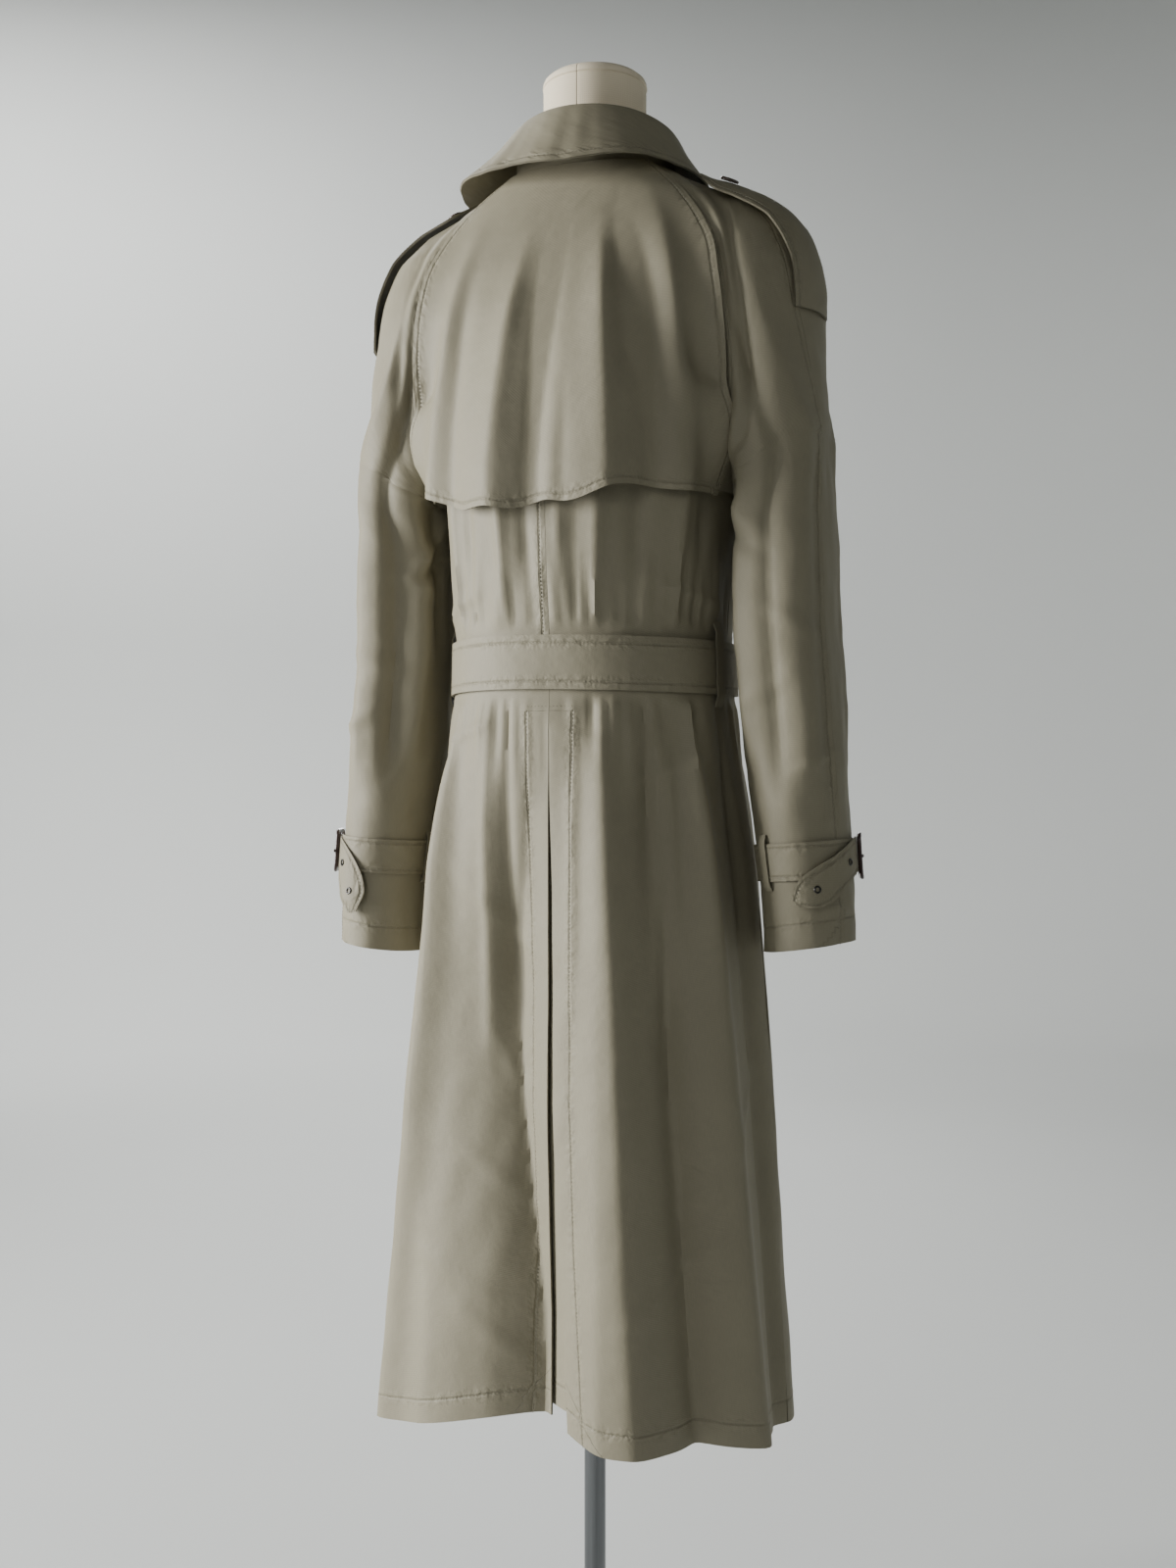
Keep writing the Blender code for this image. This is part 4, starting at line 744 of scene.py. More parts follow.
def buildLapel(side, name):
    choice = lapelChoice
    heights = np.linspace(choice["top"], choice["low"], int(0.218 / pitch))
    t = np.linspace(0.0, 1.0, int(0.09 / pitch))
    edge = np.array([abs(frontEdge(z)) for z in heights])
    spread = choice["spread"] * smooth(0.60, 0.52, heights)
    spread = spread * smooth(frontChoice["breakZ"] - 0.02, 0.50, heights) + choice["rootSpread"]
    angle = edge[:, None] - spread[:, None] * t
    z = np.repeat(heights[:, None], len(t), axis=1)
    p, n = bodyPoint(angle, z, coatField)
    p, n = mirrored(side, p, n)
    lift = clothWall + choice["lift"] + bodyRelief(angle * side, z, 2) * frontCalm(angle)
    rolled = np.exp(-(t / 0.10) ** 2)[None, :]
    lift = lift + choice["roll"] * rolled * smooth(0.38, 0.42, z)
    if side > 0:
        lift = lift + frontTuck(p, side) - 0.004 * rolled * smooth(0.52, 0.46, z)
    p = p + n * lift[..., None]
    clothPiece(name, p, n, [("stop", choice["stitch"])])


sleeveChoice = {"overArm": 33.0, "leftDrop": 0.012, "backWidth": 0.150, "frontWidth": 0.215,
                "hemStitch": 0.024, "overStitch": 0.0065, "raglanStitch": 0.0060}


def sleeveHalf(side, front, columns):
    # half of a raglan sleeve, neck to cuff, on rings that turn from the shoulder down to the hanging arm
    overArm = sleeveChoice["overArm"]
    t = np.linspace(0.0, 1.0, columns)
    trim = math.degrees(seamGap / 0.06)
    steps = upperSteps
    centres, outs = spline(ringCentres, steps), spline(ringOuts, steps)
    outs /= np.linalg.norm(outs, axis=-1, keepdims=True)
    seams = spline(seamFront if front else seamBack, steps)
    offset = seams - centres
    seamTurn = np.degrees(np.arctan2(np.abs(offset[:, 1]), np.sum(offset * outs, axis=-1)))
    over = overArm - 24.0 * smooth(0.30, 0.60, seams[:, 2])
    shared = smooth(2.2, 3.2, steps)
    first = np.degrees(np.arctan2(ringOuts[0, 2], ringOuts[0, 0]))
    ringTable = np.array([(ringCentres[0, 2], first)] + sleeveRings)
    span = np.linspace(0.0, len(ringTable) - 1.0, int(0.475 / pitch))[1:]
    ringZ, tilt = spline(ringTable, span).T
    ringZ = ringZ - (sleeveChoice["leftDrop"] if side > 0 else 0.0) * smooth(0.0, -0.155, ringZ)
    cx, cy, _, _ = section(sleeveSections, ringZ)
    shift = ringCentres[0, 0] - np.interp(ringCentres[0, 2], sleeveSections[:, 0], sleeveSections[:, 1])
    cx = cx + shift * smooth(0.24, ringCentres[0, 2], ringZ)
    a = np.radians(tilt)
    outs = np.concatenate([outs, np.stack([np.cos(a), 0 * a, np.sin(a)], axis=-1)])
    centres = np.concatenate([centres, np.stack([cx, cy, ringZ], axis=-1)])
    seamTurn = np.concatenate([seamTurn, np.full(len(ringZ), 180.0)])
    over = np.concatenate([over, np.full(len(ringZ), overArm)])
    if front:
        start, stop = trim - seamTurn, over - trim
    else:
        start, stop = seamTurn - trim, over + trim
    angle = start[:, None] + (stop - start)[:, None] * t
    a = np.radians(angle)[..., None]
    ray = np.cos(a) * outs[:, None, :] + np.sin(a) * np.array([0.0, 1.0, 0.0])
    origin = np.broadcast_to(centres[:, None, :], ray.shape)
    low = cast(origin, ray, sleeveField)
    high = cast(origin, ray, coatField)
    share = np.concatenate([shared, np.zeros(len(ringZ))])[:, None, None]
    p = low + (high - low) * share
    snap = (seams - p[:len(steps), 0])[:, None, :] * smooth(0.30, 0.0, t)[None, :, None]
    p[:len(steps)] += snap
    n = slopeOf(p, sleeveField) * (1 - share) + slopeOf(p, coatField) * share
    n /= np.linalg.norm(n, axis=-1, keepdims=True)
    keep = np.concatenate([np.repeat(smooth(0.0, 0.14, t)[None, :], len(steps), axis=0),
                           np.ones((len(ringZ), columns))])
    lift = sleeveRelief(side, angle, p[..., 2]) * keep
    beside = np.concatenate([smooth(0.2, 0.9, steps / 4.0) * smooth(10.2, 8.0, steps), np.zeros(len(ringZ))])
    along = arcs(p, 1)
    # a soft ridge and trough run beside the raglan seam, stronger behind and on the right
    ridge = 0.0055 * np.exp(-((along - 0.020) / 0.009) ** 2)
    ridge = ridge - 0.0075 * np.exp(-((along - 0.040) / 0.009) ** 2)
    lift = lift + ridge * beside[:, None] * (0.4 if front else 0.7) * (0.6 if side < 0 else 0.3)
    p = p + n * lift[..., None]
    return mirrored(side, p, n)


def buildSleeves():
    choice = sleeveChoice
    for side, hand in ((1.0, "left"), (-1.0, "right")):
        for front, half in ((False, "back"), (True, "front")):
            p, n = sleeveHalf(side, front, int(choice[half + "Width"] / pitch))
            stitched = [("bottom", choice["hemStitch"])]
            if not front:
                stitched += [("stop", choice["overStitch"]), ("start", choice["raglanStitch"], 0.33, 0.62)]
            clothPiece("sleeve_%s_%s" % (half, hand), p, n, stitched)


def sleeveBand(side, heights, angles, tilt=4.0):
    # surface points round a cuff: heights and angles are grids of one shape
    a = np.radians(angles)
    lean = math.radians(tilt)
    out = np.array([math.cos(lean), 0.0, math.sin(lean)])
    ray = np.cos(a)[..., None] * out + np.sin(a)[..., None] * np.array([0.0, 1.0, 0.0])
    cx, cy, _, _ = section(sleeveSections, heights)
    origin = np.stack([cx, cy, heights], axis=-1)
    p = cast(origin, ray, sleeveField)
    n = slopeOf(p, sleeveField)
    p = p + n * sleeveRelief(side, angles, p[..., 2])[..., None]
    return mirrored(side, p, n)


cuffChoice = {"strapWall": 0.0015, "strapLift": 0.0012, "leftBuckle": 28.0, "rightBuckle": -24.0,
              "leftLoop": 168.0, "rightLoop": 118.0, "stitch": 0.0042, "loopWall": 0.0013, "loopReach": 0.009,
              "loopHalf": 5.0}


def buildCuffs():
    # strap round each sleeve, its free end past the buckle, and two carriers
    choice = cuffChoice
    wall = choice["strapWall"]
    edges = [("top", choice["stitch"]), ("bottom", choice["stitch"])]
    for side, hand in ((1.0, "left"), (-1.0, "right")):
        buckleAt = choice[hand + "Buckle"]
        angles = np.linspace(buckleAt - 4.0, buckleAt - 348.0, int(0.33 / pitch))
        z, angle = np.meshgrid(np.linspace(strapLow, strapHigh, 8), angles, indexing="ij")
        p, n = sleeveBand(side, z, angle)
        lift = wall + choice["strapLift"] + 0.0006 * ripple(np.radians(angle) * 0.055, z, 0.06, 70 + side)
        p = p + n * lift[..., None]
        clothPiece("cuff_strap_" + hand, p, n, edges,
                   wall=wall)
        buildTail(side, hand, buckleAt, wall, edges)
        low, high = strapLow - choice["loopReach"], strapHigh + choice["loopReach"]
        for number, at in enumerate((choice[hand + "Loop"], choice[hand + "Loop"] - 180.0), start=1):
            across = np.linspace(at - choice["loopHalf"], at + choice["loopHalf"], 5)
            z, angle = np.meshgrid(np.linspace(low, high, 13), across, indexing="ij")
            p, n = sleeveBand(side, z, angle)
            over = smooth(low, low + 0.007, z) * smooth(high, high - 0.007, z)
            p = p + n * (0.0018 + 0.0030 * over)[..., None]
            clothPiece("cuff_loop_%s_%d" % (hand, number), p, n, [],
                       wall=choice["loopWall"])


def tailPath(side, at):
    # columns: angle, z, halfWidth, lean (degrees), lift of the tail's outer face
    if side > 0:
        return np.array([(at + 8.0, -0.072, 0.0165, 0.0, 0.0046), (at + 30.0, -0.077, 0.0165, 25.0, 0.0050),
                         (at + 45.0, -0.092, 0.0155, 55.0, 0.0064), (at + 53.0, -0.112, 0.0135, 72.0, 0.0080),
                         (at + 56.0, -0.131, 0.0040, 76.0, 0.0094)])
    return np.array([(at + 9.0, -0.070, 0.0165, 4.0, 0.0046), (at + 36.0, -0.073, 0.0165, 9.0, 0.0052),
                     (at + 67.0, -0.084, 0.0165, 20.0, 0.0066), (at + 98.0, -0.101, 0.0160, 27.0, 0.0082),
                     (at + 112.0, -0.110, 0.0050, 30.0, 0.0092)])


def buildTail(side, hand, at, wall, edges):
    path = spline(tailPath(side, at), np.linspace(0.0, 4.0, 26))
    part = np.linspace(-1.0, 1.0, 9)
    lean = np.radians(path[:, 3])
    angle = path[:, 0] + np.degrees(part[:, None] * path[:, 2] * np.sin(lean) / 0.052)
    z = path[:, 1] + part[:, None] * path[:, 2] * np.cos(lean)
    p, n = sleeveBand(side, z, angle)
    p = p + n * path[:, 4][None, :, None]
    clothPiece("cuff_tail_" + hand, p, n, edges, wall=wall)
    normals = gridNormals(p, n)
    for number, column in enumerate((9, 18), start=1):
        spot, up = p[4, column], normals[4, column]
        buildEyelet("cuff_eyelet_%s_%d" % (hand, number), spot + up * 0.0002, up)


beltChoice = {"wall": 0.0026, "clear": 0.0010, "stitch": 0.0075, "tail": (-176.0, -120.0), "tailLift": 0.0028,
              "loop": (73.0, 78.0), "loopLow": 0.074, "loopHigh": 0.158, "loopWall": 0.0018}


def buildBelt():
    # closed band round the waist, its free end in front and a carrier at each side seam
    choice = beltChoice
    wall, base = choice["wall"], choice["wall"] + choice["clear"]
    middle = 0.5 * (beltLow + beltHigh)
    heights = np.linspace(beltLow, beltHigh, 13)
    angles = np.linspace(-170.0, 190.0, int(0.86 / pitch) + 1)[:-1]
    z, angle = np.meshgrid(heights, angles, indexing="ij")
    turn = (angle + 180.0) % 360.0 - 180.0
    p, n = bodyPoint(turn, z, bodyField)
    slack = 0.0007 * ripple(np.radians(turn) * 0.13, z * 0.4, 0.05, 12) + 0.0009
    p[..., 2] += 0.0020 * np.sin(np.radians(turn) * 2.0 + 0.7) - 0.0015
    p = p + n * (base + slack)[..., None]
    edges = [("top", choice["stitch"]), ("bottom", choice["stitch"])]
    clothPiece("belt", p, n, edges, closed=True, wall=wall)
    z, angle = np.meshgrid(heights, np.linspace(*choice["tail"], int(0.13 / pitch)), indexing="ij")
    p, n = bodyPoint(angle, z, bodyField)
    taper = smooth(choice["tail"][1] - 11.0, choice["tail"][1], angle) * 0.8
    p[..., 2] = middle + (p[..., 2] - middle) * (1.0 - 0.75 * taper ** 2)
    p = p + n * (base + wall + choice["tailLift"])
    clothPiece("belt_tail", p, n, edges, wall=wall)
    low, high = choice["loopLow"], choice["loopHigh"]
    for side, hand in ((1.0, "left"), (-1.0, "right")):
        across = np.linspace(*choice["loop"], 5) * side
        z, angle = np.meshgrid(np.linspace(low, high, 25), across, indexing="ij")
        p, n = bodyPoint(angle, z, bodyField)
        over = smooth(low, low + 0.012, z) * smooth(high, high - 0.012, z)
        p = p + n * (0.0022 + 0.0046 * over)[..., None]
        clothPiece("belt_loop_" + hand, p, n, [], wall=choice["loopWall"])


# columns: angle, then distance out and height of the stand's foot, the fold, the fall's middle and its edge
collarTable = np.array([
    (0.0, 0.0705, 0.614, 0.0690, 0.6635, 0.0930, 0.6340, 0.1110, 0.5990),
    (45.0, 0.0745, 0.614, 0.0730, 0.6600, 0.1000, 0.6330, 0.1250, 0.6050),
    (90.0, 0.0810, 0.614, 0.0785, 0.6500, 0.1080, 0.6260, 0.1420, 0.6090),
    (125.0, 0.0790, 0.612, 0.0780, 0.6340, 0.1070, 0.6080, 0.1420, 0.5800),
    (148.0, 0.0760, 0.610, 0.0790, 0.6200, 0.1040, 0.5900, 0.1360, 0.5560)])
collarChoice = {"length": 0.52, "width": 0.11, "wall": 0.0022, "stitch": 0.0070, "footDrop": 0.0055,
                "closeAt": -88.0, "closeSpan": 42.0, "closeMiddle": (-0.010, 0.002),
                "closeEdge": (-0.027, -0.006)}


def collarLine(angle, values, rows):
    # distance out and height down one section of the collar, from the stand's foot over the fold to the edge
    choice = collarChoice
    foot, fold, mid, edge = [values[k:k + 2] for k in (1, 3, 5, 7)]
    close = math.exp(-((angle - choice["closeAt"]) / choice["closeSpan"]) ** 2)   # the fall lies closer here
    mid = mid + np.array(choice["closeMiddle"]) * close
    edge = edge + np.array(choice["closeEdge"]) * close
    foot = foot - np.array([0.0, choice["footDrop"]])
    path = np.array([foot, fold - (0.0, 0.012), fold - (-0.0005, 0.003), fold + (0.0045, 0.0012),
                     fold + (0.0100, -0.0040), mid, edge])
    line = spline(path, np.linspace(0.0, 6.0, rows))
    fall = smooth(0.45, 1.0, np.linspace(0.0, 1.0, rows))
    u = np.array(math.radians(angle) * 0.12)
    line[:, 0] += fall * (0.0030 * float(ripple(u, 0.0, 0.11, 8)) + 0.0012 * float(ripple(u, 0.0, 0.035, 9)))
    line[:, 1] += fall * 0.0020 * float(ripple(u, 0.3, 0.09, 10))
    return line


def buildCollar():
    choice = collarChoice
    ends = collarTable[-1, 0]
    angles = np.linspace(-ends, ends, int(choice["length"] / pitch))
    values = spline(collarTable, np.interp(np.abs(angles), collarTable[:, 0], np.arange(5.0)))
    rows = int(choice["width"] / pitch)
    points = np.empty((rows, len(angles), 3))
    for i, angle in enumerate(angles):
        line = collarLine(angle, values[i], rows)
        a = math.radians(angle)
        points[:, i] = np.stack([math.sin(a) * line[:, 0], math.cos(a) * line[:, 0], line[:, 1]], axis=-1)
    outward = np.cross(np.gradient(points, axis=1), np.gradient(points, axis=0))
    outward = outward * (np.sign(outward[-2, len(angles) // 2, 2]) or 1.0)   # the fall's face looks up
    stitched = [(edge, choice["stitch"]) for edge in ("bottom", "start", "stop")]
    clothPiece("collar", points, outward, stitched, wall=choice["wall"])


def shoulderPoint(turn, y):
    # points over the shoulder, from level at the neck (0) to straight up
    a = np.radians(turn)
    origin = np.stack([np.full_like(y, 0.140), y, np.full_like(y, 0.445)], axis=-1)
    ray = np.stack([np.cos(a), np.zeros_like(a), np.sin(a)], axis=-1)
    p = cast(origin, ray, coatField)
    return p, slopeOf(p, coatField)


# columns: turn, lift, halfWidth
epauletteTable = np.array([
    (4.0, 0.0046, 0.031), (14.0, 0.0062, 0.031), (28.0, 0.0086, 0.030), (42.0, 0.0108, 0.029),
    (56.0, 0.0116, 0.028), (68.0, 0.0112, 0.027), (80.0, 0.0100, 0.026), (92.0, 0.0092, 0.024),
    (99.0, 0.0090, 0.010)])
epauletteChoice = {"length": 0.21, "width": 0.06, "leftMiddle": 0.012, "rightMiddle": 0.024, "wall": 0.0022,
                   "stitch": 0.0055, "buttonTurn": 88.0, "buttonLift": 0.0098, "buttonRadius": 0.0095,
                   "buttonThick": 0.0035}


def buildEpaulettes():
    # one tongue over each shoulder, buttoned near the neck
    choice = epauletteChoice
    edges = [(edge, choice["stitch"]) for edge in ("start", "stop", "bottom")]
    for side, hand in ((1.0, "left"), (-1.0, "right")):
        middle = choice[hand + "Middle"]
        values = spline(epauletteTable, np.linspace(0.0, 8.0, int(choice["length"] / pitch)))
        across = np.linspace(-1.0, 1.0, int(choice["width"] / pitch))
        turn = np.repeat(values[:, :1], len(across), axis=1)
        y = middle + values[:, 2:] * across[None, :]
        p, n = shoulderPoint(turn, y)
        lift = values[:, 1:2] - 0.0016 * np.abs(across)[None, :] ** 2
        lift = lift + 0.0006 * ripple(y, turn * 0.002, 0.04, 60 + side)
        p, n = mirrored(side, p + n * lift[..., None], n)
        clothPiece("epaulette_" + hand, p, n, edges, wall=choice["wall"])
        p, n = shoulderPoint(np.array([choice["buttonTurn"]]), np.array([middle]))
        p, n = mirrored(side, p, n)
        buildButton("epaulette_button_" + hand, p[0] + n[0] * choice["buttonLift"], n[0],
                    choice["buttonRadius"], choice["buttonThick"])


buildBacks()
buildFlap()
buildUnderlay()
print("stage: back, flap and vent done")
buildFronts()
buildSleeves()
print("stage: fronts and sleeves done")


def makePolished(name, choice):
    # small covered, moulded or plated part: two tones in a fine grain under a polish
    made, tree, shader = newMaterial(name)
    spot = addNode(tree, "ShaderNodeTexCoord").outputs["Object"]
    grain = addNode(tree, "ShaderNodeTexNoise", Vector=spot, Scale=1000.0 / choice["grain"],
                    Detail=5.0).outputs["Fac"]
    tone = mixColour(tree, grain, linear(choice["dark"]), linear(choice["light"]))
    tree.links.new(tone, shader.inputs["Base Color"])
    setShader(shader, Roughness=choice["roughness"], Metallic=choice["metallic"], Coat_Weight=choice["coat"],
              Coat_Roughness=0.12)
    bump = addNode(tree, "ShaderNodeBump", Height=grain, Strength=0.5, Distance=choice["relief"])
    tree.links.new(bump.outputs[0], shader.inputs["Normal"])
    return made


# Grain in millimetres. Covered leather shines softly, horn is streaked, plated steel is dark and bright.
polishedChoice = {
    "leather covered buckle": {"dark": "#150b0a", "light": "#3b1512", "grain": 1.111, "roughness": 0.32,
                               "metallic": 0.0, "coat": 0.6, "relief": 0.0003},
    "horn button": {"dark": "#1d140e", "light": "#4a3423", "grain": 6.25, "roughness": 0.30, "metallic": 0.0,
                    "coat": 0.4, "relief": 0.0001},
    "plated steel eyelet": {"dark": "#2c2b2b", "light": "#565452", "grain": 2.0, "roughness": 0.33,
                            "metallic": 1.0, "coat": 0.0, "relief": 0.00005}}
buckleLook, hornLook, eyeletLook = [makePolished(name, choice) for name, choice in polishedChoice.items()]


def finishPiece(name, mesh, look, angle=40.0):
    mesh.shade_smooth()
    mesh.set_sharp_from_angle(angle=math.radians(angle))
    made = place(name + "_solid", mesh, look)
    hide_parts(name)
    return made


def meshOf(name, vertices, faces):
    mesh = bpy.data.meshes.new(name)
    mesh.from_pydata([tuple(map(float, v)) for v in vertices], [], faces)
    work = bmesh.new()
    work.from_mesh(mesh)
    bmesh.ops.recalc_face_normals(work, faces=work.faces)
    work.to_mesh(mesh)
    work.free()
    return mesh


def axesOf(out):
    # an outward direction and two more, square to it
    out = out / np.linalg.norm(out)
    flat = np.cross(out, [0.0, 0.0, 1.0])
    flat /= np.linalg.norm(flat)
    return out, flat, np.cross(flat, out)


def ringFaces(rows, count, ring=False):
    # quads between rows of points; ring joins the last row to the first
    faces = []
    for r in range(rows if ring else rows - 1):
        s = (r + 1) % rows
        for i in range(count):
            j = (i + 1) % count
            faces.append((r * count + i, r * count + j, s * count + j, s * count + i))
    return faces


def endFaces(rows, count):
    return [tuple(range(count)), tuple((rows - 1) * count + i for i in range(count))]


def revolve(name, profile, centre, out, count, ring=False):
    # turned solid about out; columns of profile: radius, height
    out, flat, up = axesOf(np.asarray(out, float))
    turns = 2 * math.pi * np.arange(count) / count
    rim = flat * np.cos(turns)[:, None] + up * np.sin(turns)[:, None]
    vertices = np.concatenate([centre + rim * radius + out * height for radius, height in profile])
    rows = len(profile)
    faces = ringFaces(rows, count, ring)
    return meshOf(name, vertices, faces if ring else faces + endFaces(rows, count))


def buildEyelet(name, centre, out):
    # rolled ring round an open hole
    hole, roll = 0.0019, 0.0009
    profile = [(hole + roll * (1 - math.cos(a)), roll * math.sin(a)) for a in np.linspace(0, math.pi, 7)]
    profile = profile + [(0.0036, -0.0002), (hole, -0.0002)]
    mesh = revolve(name, profile, centre + floorUp, out, 28, ring=True)
    finishPiece(name, mesh, eyeletLook, 60.0)


def buildButton(name, centre, out, radius, thick):
    # four-hole button: rounded rim, dished face, sewn through with thread
    rows = [(0.30, 0.0), (0.86, 0.0), (0.97, 0.12), (1.0, 0.42), (0.97, 0.74), (0.90, 0.94), (0.80, 1.0),
            (0.70, 0.92), (0.60, 0.76), (0.40, 0.70), (0.10, 0.69)]
    profile = [(radius * r, thick * h) for r, h in rows]
    centre = centre + floorUp
    mesh = revolve(name, profile, centre, out, 44)
    out, flat, up = axesOf(np.asarray(out, float))
    work = bmesh.new()
    work.from_mesh(mesh)
    for i in range(4):
        a = math.pi / 4 + i * math.pi / 2
        spot = centre + (flat * math.cos(a) + up * math.sin(a)) * radius * 0.20 + out * thick * 0.80
        done = bmesh.ops.create_icosphere(work, subdivisions=2, radius=radius * 0.11)
        bmesh.ops.translate(work, verts=done["verts"], vec=Vector(spot))
    work.to_mesh(mesh)
    work.free()
    finishPiece(name, mesh, hornLook, 50.0)


def buckleFrame(name, spot, wide, tall, bar, foot, deep):
    # rounded frame with a middle bar and a prong; spot(across, up, lift) follows the cloth
    halfW, halfT, corner = wide / 2 - bar / 2, tall / 2 - bar / 2, 0.0045
    corners = [(halfW, halfT, 0), (-halfW, halfT, 90), (-halfW, -halfT, 180), (halfW, -halfT, 270)]
    path = []
    for cx, cy, begin in corners:
        for a in np.radians(np.linspace(begin, begin + 90, 7)):
            path.append((cx - math.copysign(corner, cx) + corner * math.cos(a),
                         cy - math.copysign(corner, cy) + corner * math.sin(a)))
    path = subdividePath(path, 0.003, True)
    work = bmesh.new()
    middleBar = subdividePath([(0.0, -halfT), (0.0, halfT)], 0.003, False)
    prong = subdividePath([(0.001, 0.0), (halfW + bar * 0.55, 0.0)], 0.002, False)
    sweep(work, path, spot, bar / 2, foot, deep, True)
    sweep(work, middleBar, spot, bar / 2, foot, deep * 0.8, False)
    sweep(work, prong, spot, 0.0016, foot + deep * 0.75, 0.0022, False)
    bmesh.ops.recalc_face_normals(work, faces=work.faces)
    mesh = bpy.data.meshes.new(name)
    work.to_mesh(mesh)
    work.free()
    finishPiece(name, mesh, buckleLook, 60.0)


def subdividePath(path, step, closed):
    # evenly spaced points along a path
    path = np.array(path + path[:1] if closed else path, float)
    length = np.concatenate([[0.0], np.cumsum(np.linalg.norm(np.diff(path, axis=0), axis=1))])
    count = max(int(length[-1] / step), 3)
    at = np.linspace(0.0, length[-1], count + 1)
    made = np.stack([np.interp(at, length, path[:, 0]), np.interp(at, length, path[:, 1])], axis=-1)
    return made[:-1] if closed else made


def sweep(work, path, spot, half, foot, deep, closed):
    # rounded bar along a path on the cloth
    count = 10
    ahead = np.roll(path, -1, axis=0) - np.roll(path, 1, axis=0) if closed else np.gradient(path, axis=0)
    ahead = ahead / np.linalg.norm(ahead, axis=1, keepdims=True)
    rings = []
    for (x, y), (dx, dy) in zip(path, ahead):
        ring = []
        for i in range(count):
            a = 2 * math.pi * i / count
            aside = half * math.copysign(abs(math.cos(a)) ** 0.7, math.cos(a))
            lift = foot + deep * (0.5 + 0.5 * math.copysign(abs(math.sin(a)) ** 0.7, math.sin(a)))
            ring.append(work.verts.new(spot(x - dy * aside, y + dx * aside, lift)))
        rings.append(ring)
    pairs = list(zip(rings, rings[1:] + rings[:1])) if closed else list(zip(rings, rings[1:]))
    for first, second in pairs:
        for i in range(count):
            j = (i + 1) % count
            work.faces.new((first[i], first[j], second[j], second[i]))
    if not closed:
        work.faces.new(rings[0])
        work.faces.new(rings[-1][::-1])


buckleChoice = {
    "cuff": {"z": -0.0725, "radius": 0.053, "wide": 0.034, "tall": 0.045, "bar": 0.0050, "foot": 0.0064,
             "deep": 0.0032},
    "belt": {"z": 0.116, "radius": 0.125, "at": -177.0, "wide": 0.052, "tall": 0.070, "bar": 0.0075,
             "foot": 0.0092, "deep": 0.0042}}
buttonChoice = {"heights": (0.300, 0.215, -0.010, -0.120), "aside": 0.056, "lift": 0.0030, "radius": 0.0125,
                "thick": 0.0045}


def buildBuckle(name, choice, at, surface):
    # surface(angle, z) gives the points and normals that the frame lies on
    def spot(across, up, lift):
        angle = np.array([[at + math.degrees(across / choice["radius"])]])
        p, n = surface(angle, np.array([[choice["z"] + up]]))
        return p[0, 0] + n[0, 0] * lift + floorUp
    buckleFrame(name, spot, *[choice[key] for key in ("wide", "tall", "bar", "foot", "deep")])


def buildBuckles():
    for side, hand in ((1.0, "left"), (-1.0, "right")):
        buildBuckle("cuff_buckle_" + hand, buckleChoice["cuff"], cuffChoice[hand + "Buckle"],
                    lambda angle, z, side=side: sleeveBand(side, z, angle))
    buildBuckle("belt_buckle", buckleChoice["belt"], buckleChoice["belt"]["at"],
                lambda angle, z: bodyPoint(angle, z, bodyField))


def buildFrontButtons():
    choice = buttonChoice
    spots = [(x, z) for z in choice["heights"] for x in (choice["aside"], -choice["aside"])]
    for number, (x, z) in enumerate(spots, start=1):
        angle = np.array([[math.degrees(math.atan2(x, -float(section(bodySections, z)[2])))]])
        p, n = bodyPoint(angle, np.array([[z]]), bodyField)
        buildButton("front_button_%d" % number, p[0, 0] + n[0, 0] * choice["lift"], n[0, 0], choice["radius"],
                    choice["thick"])


buildCuffs()
buildBelt()
buildCollar()
buildEpaulettes()
buildBuckles()
buildFrontButtons()
print("stage: trims done")


def makeFormCloth(name, choice):
    # Plain-woven cotton over padding: matt and pale, a fine square weave, a seam at the centre back.
    made, tree, shader = newMaterial(name)
    spot = addNode(tree, "ShaderNodeTexCoord").outputs["Object"]
    parts = addNode(tree, "ShaderNodeSeparateXYZ", Vector=spot)
    turn = mathNode(tree, "MULTIPLY", mathNode(tree, "ARCTAN2", parts.outputs[0], parts.outputs[1]),
                    choice["neckRadius"])
    flat = addNode(tree, "ShaderNodeCombineXYZ", X=turn, Y=parts.outputs[2]).outputs[0]
    weft, warp = [addNode(tree, "ShaderNodeTexWave", {"bands_direction": way}, Vector=flat,
                          Scale=1000.0 / choice["weave"], Distortion=1.5, Detail=2.0).outputs["Fac"]
                  for way in ("X", "Y")]
    weave = mathNode(tree, "MULTIPLY", weft, warp)
    cloud = addNode(tree, "ShaderNodeTexNoise", Vector=spot, Scale=1000.0 / choice["cloud"], Detail=5.0)
    base = mixColour(tree, cloud.outputs["Fac"], linear(choice["dark"]), linear(choice["light"]))
    base = mixColour(tree, mathNode(tree, "MULTIPLY", weave, 0.12), base, linear(choice["thread"]))
    seamLine = addNode(tree, "ShaderNodeMapRange", {"interpolation_type": "SMOOTHSTEP"},
                       Value=mathNode(tree, "ABSOLUTE", turn), From_Min=0.0003, From_Max=0.0012, To_Min=1.0,
                       To_Max=0.0).outputs[0]
    base = mixColour(tree, mathNode(tree, "MULTIPLY", seamLine, 0.45), base, linear(choice["seam"]))
    tree.links.new(base, shader.inputs["Base Color"])
    setShader(shader, Roughness=choice["roughness"], Sheen_Weight=choice["sheen"])
    height = mathNode(tree, "MULTIPLY", weave, choice["weaveHeight"])
    height = mathNode(tree, "MULTIPLY_ADD", seamLine, -choice["seamDepth"], height)
    bump = addNode(tree, "ShaderNodeBump", Height=height, Strength=1.0, Distance=1.0)
    tree.links.new(bump.outputs[0], shader.inputs["Normal"])
    return made


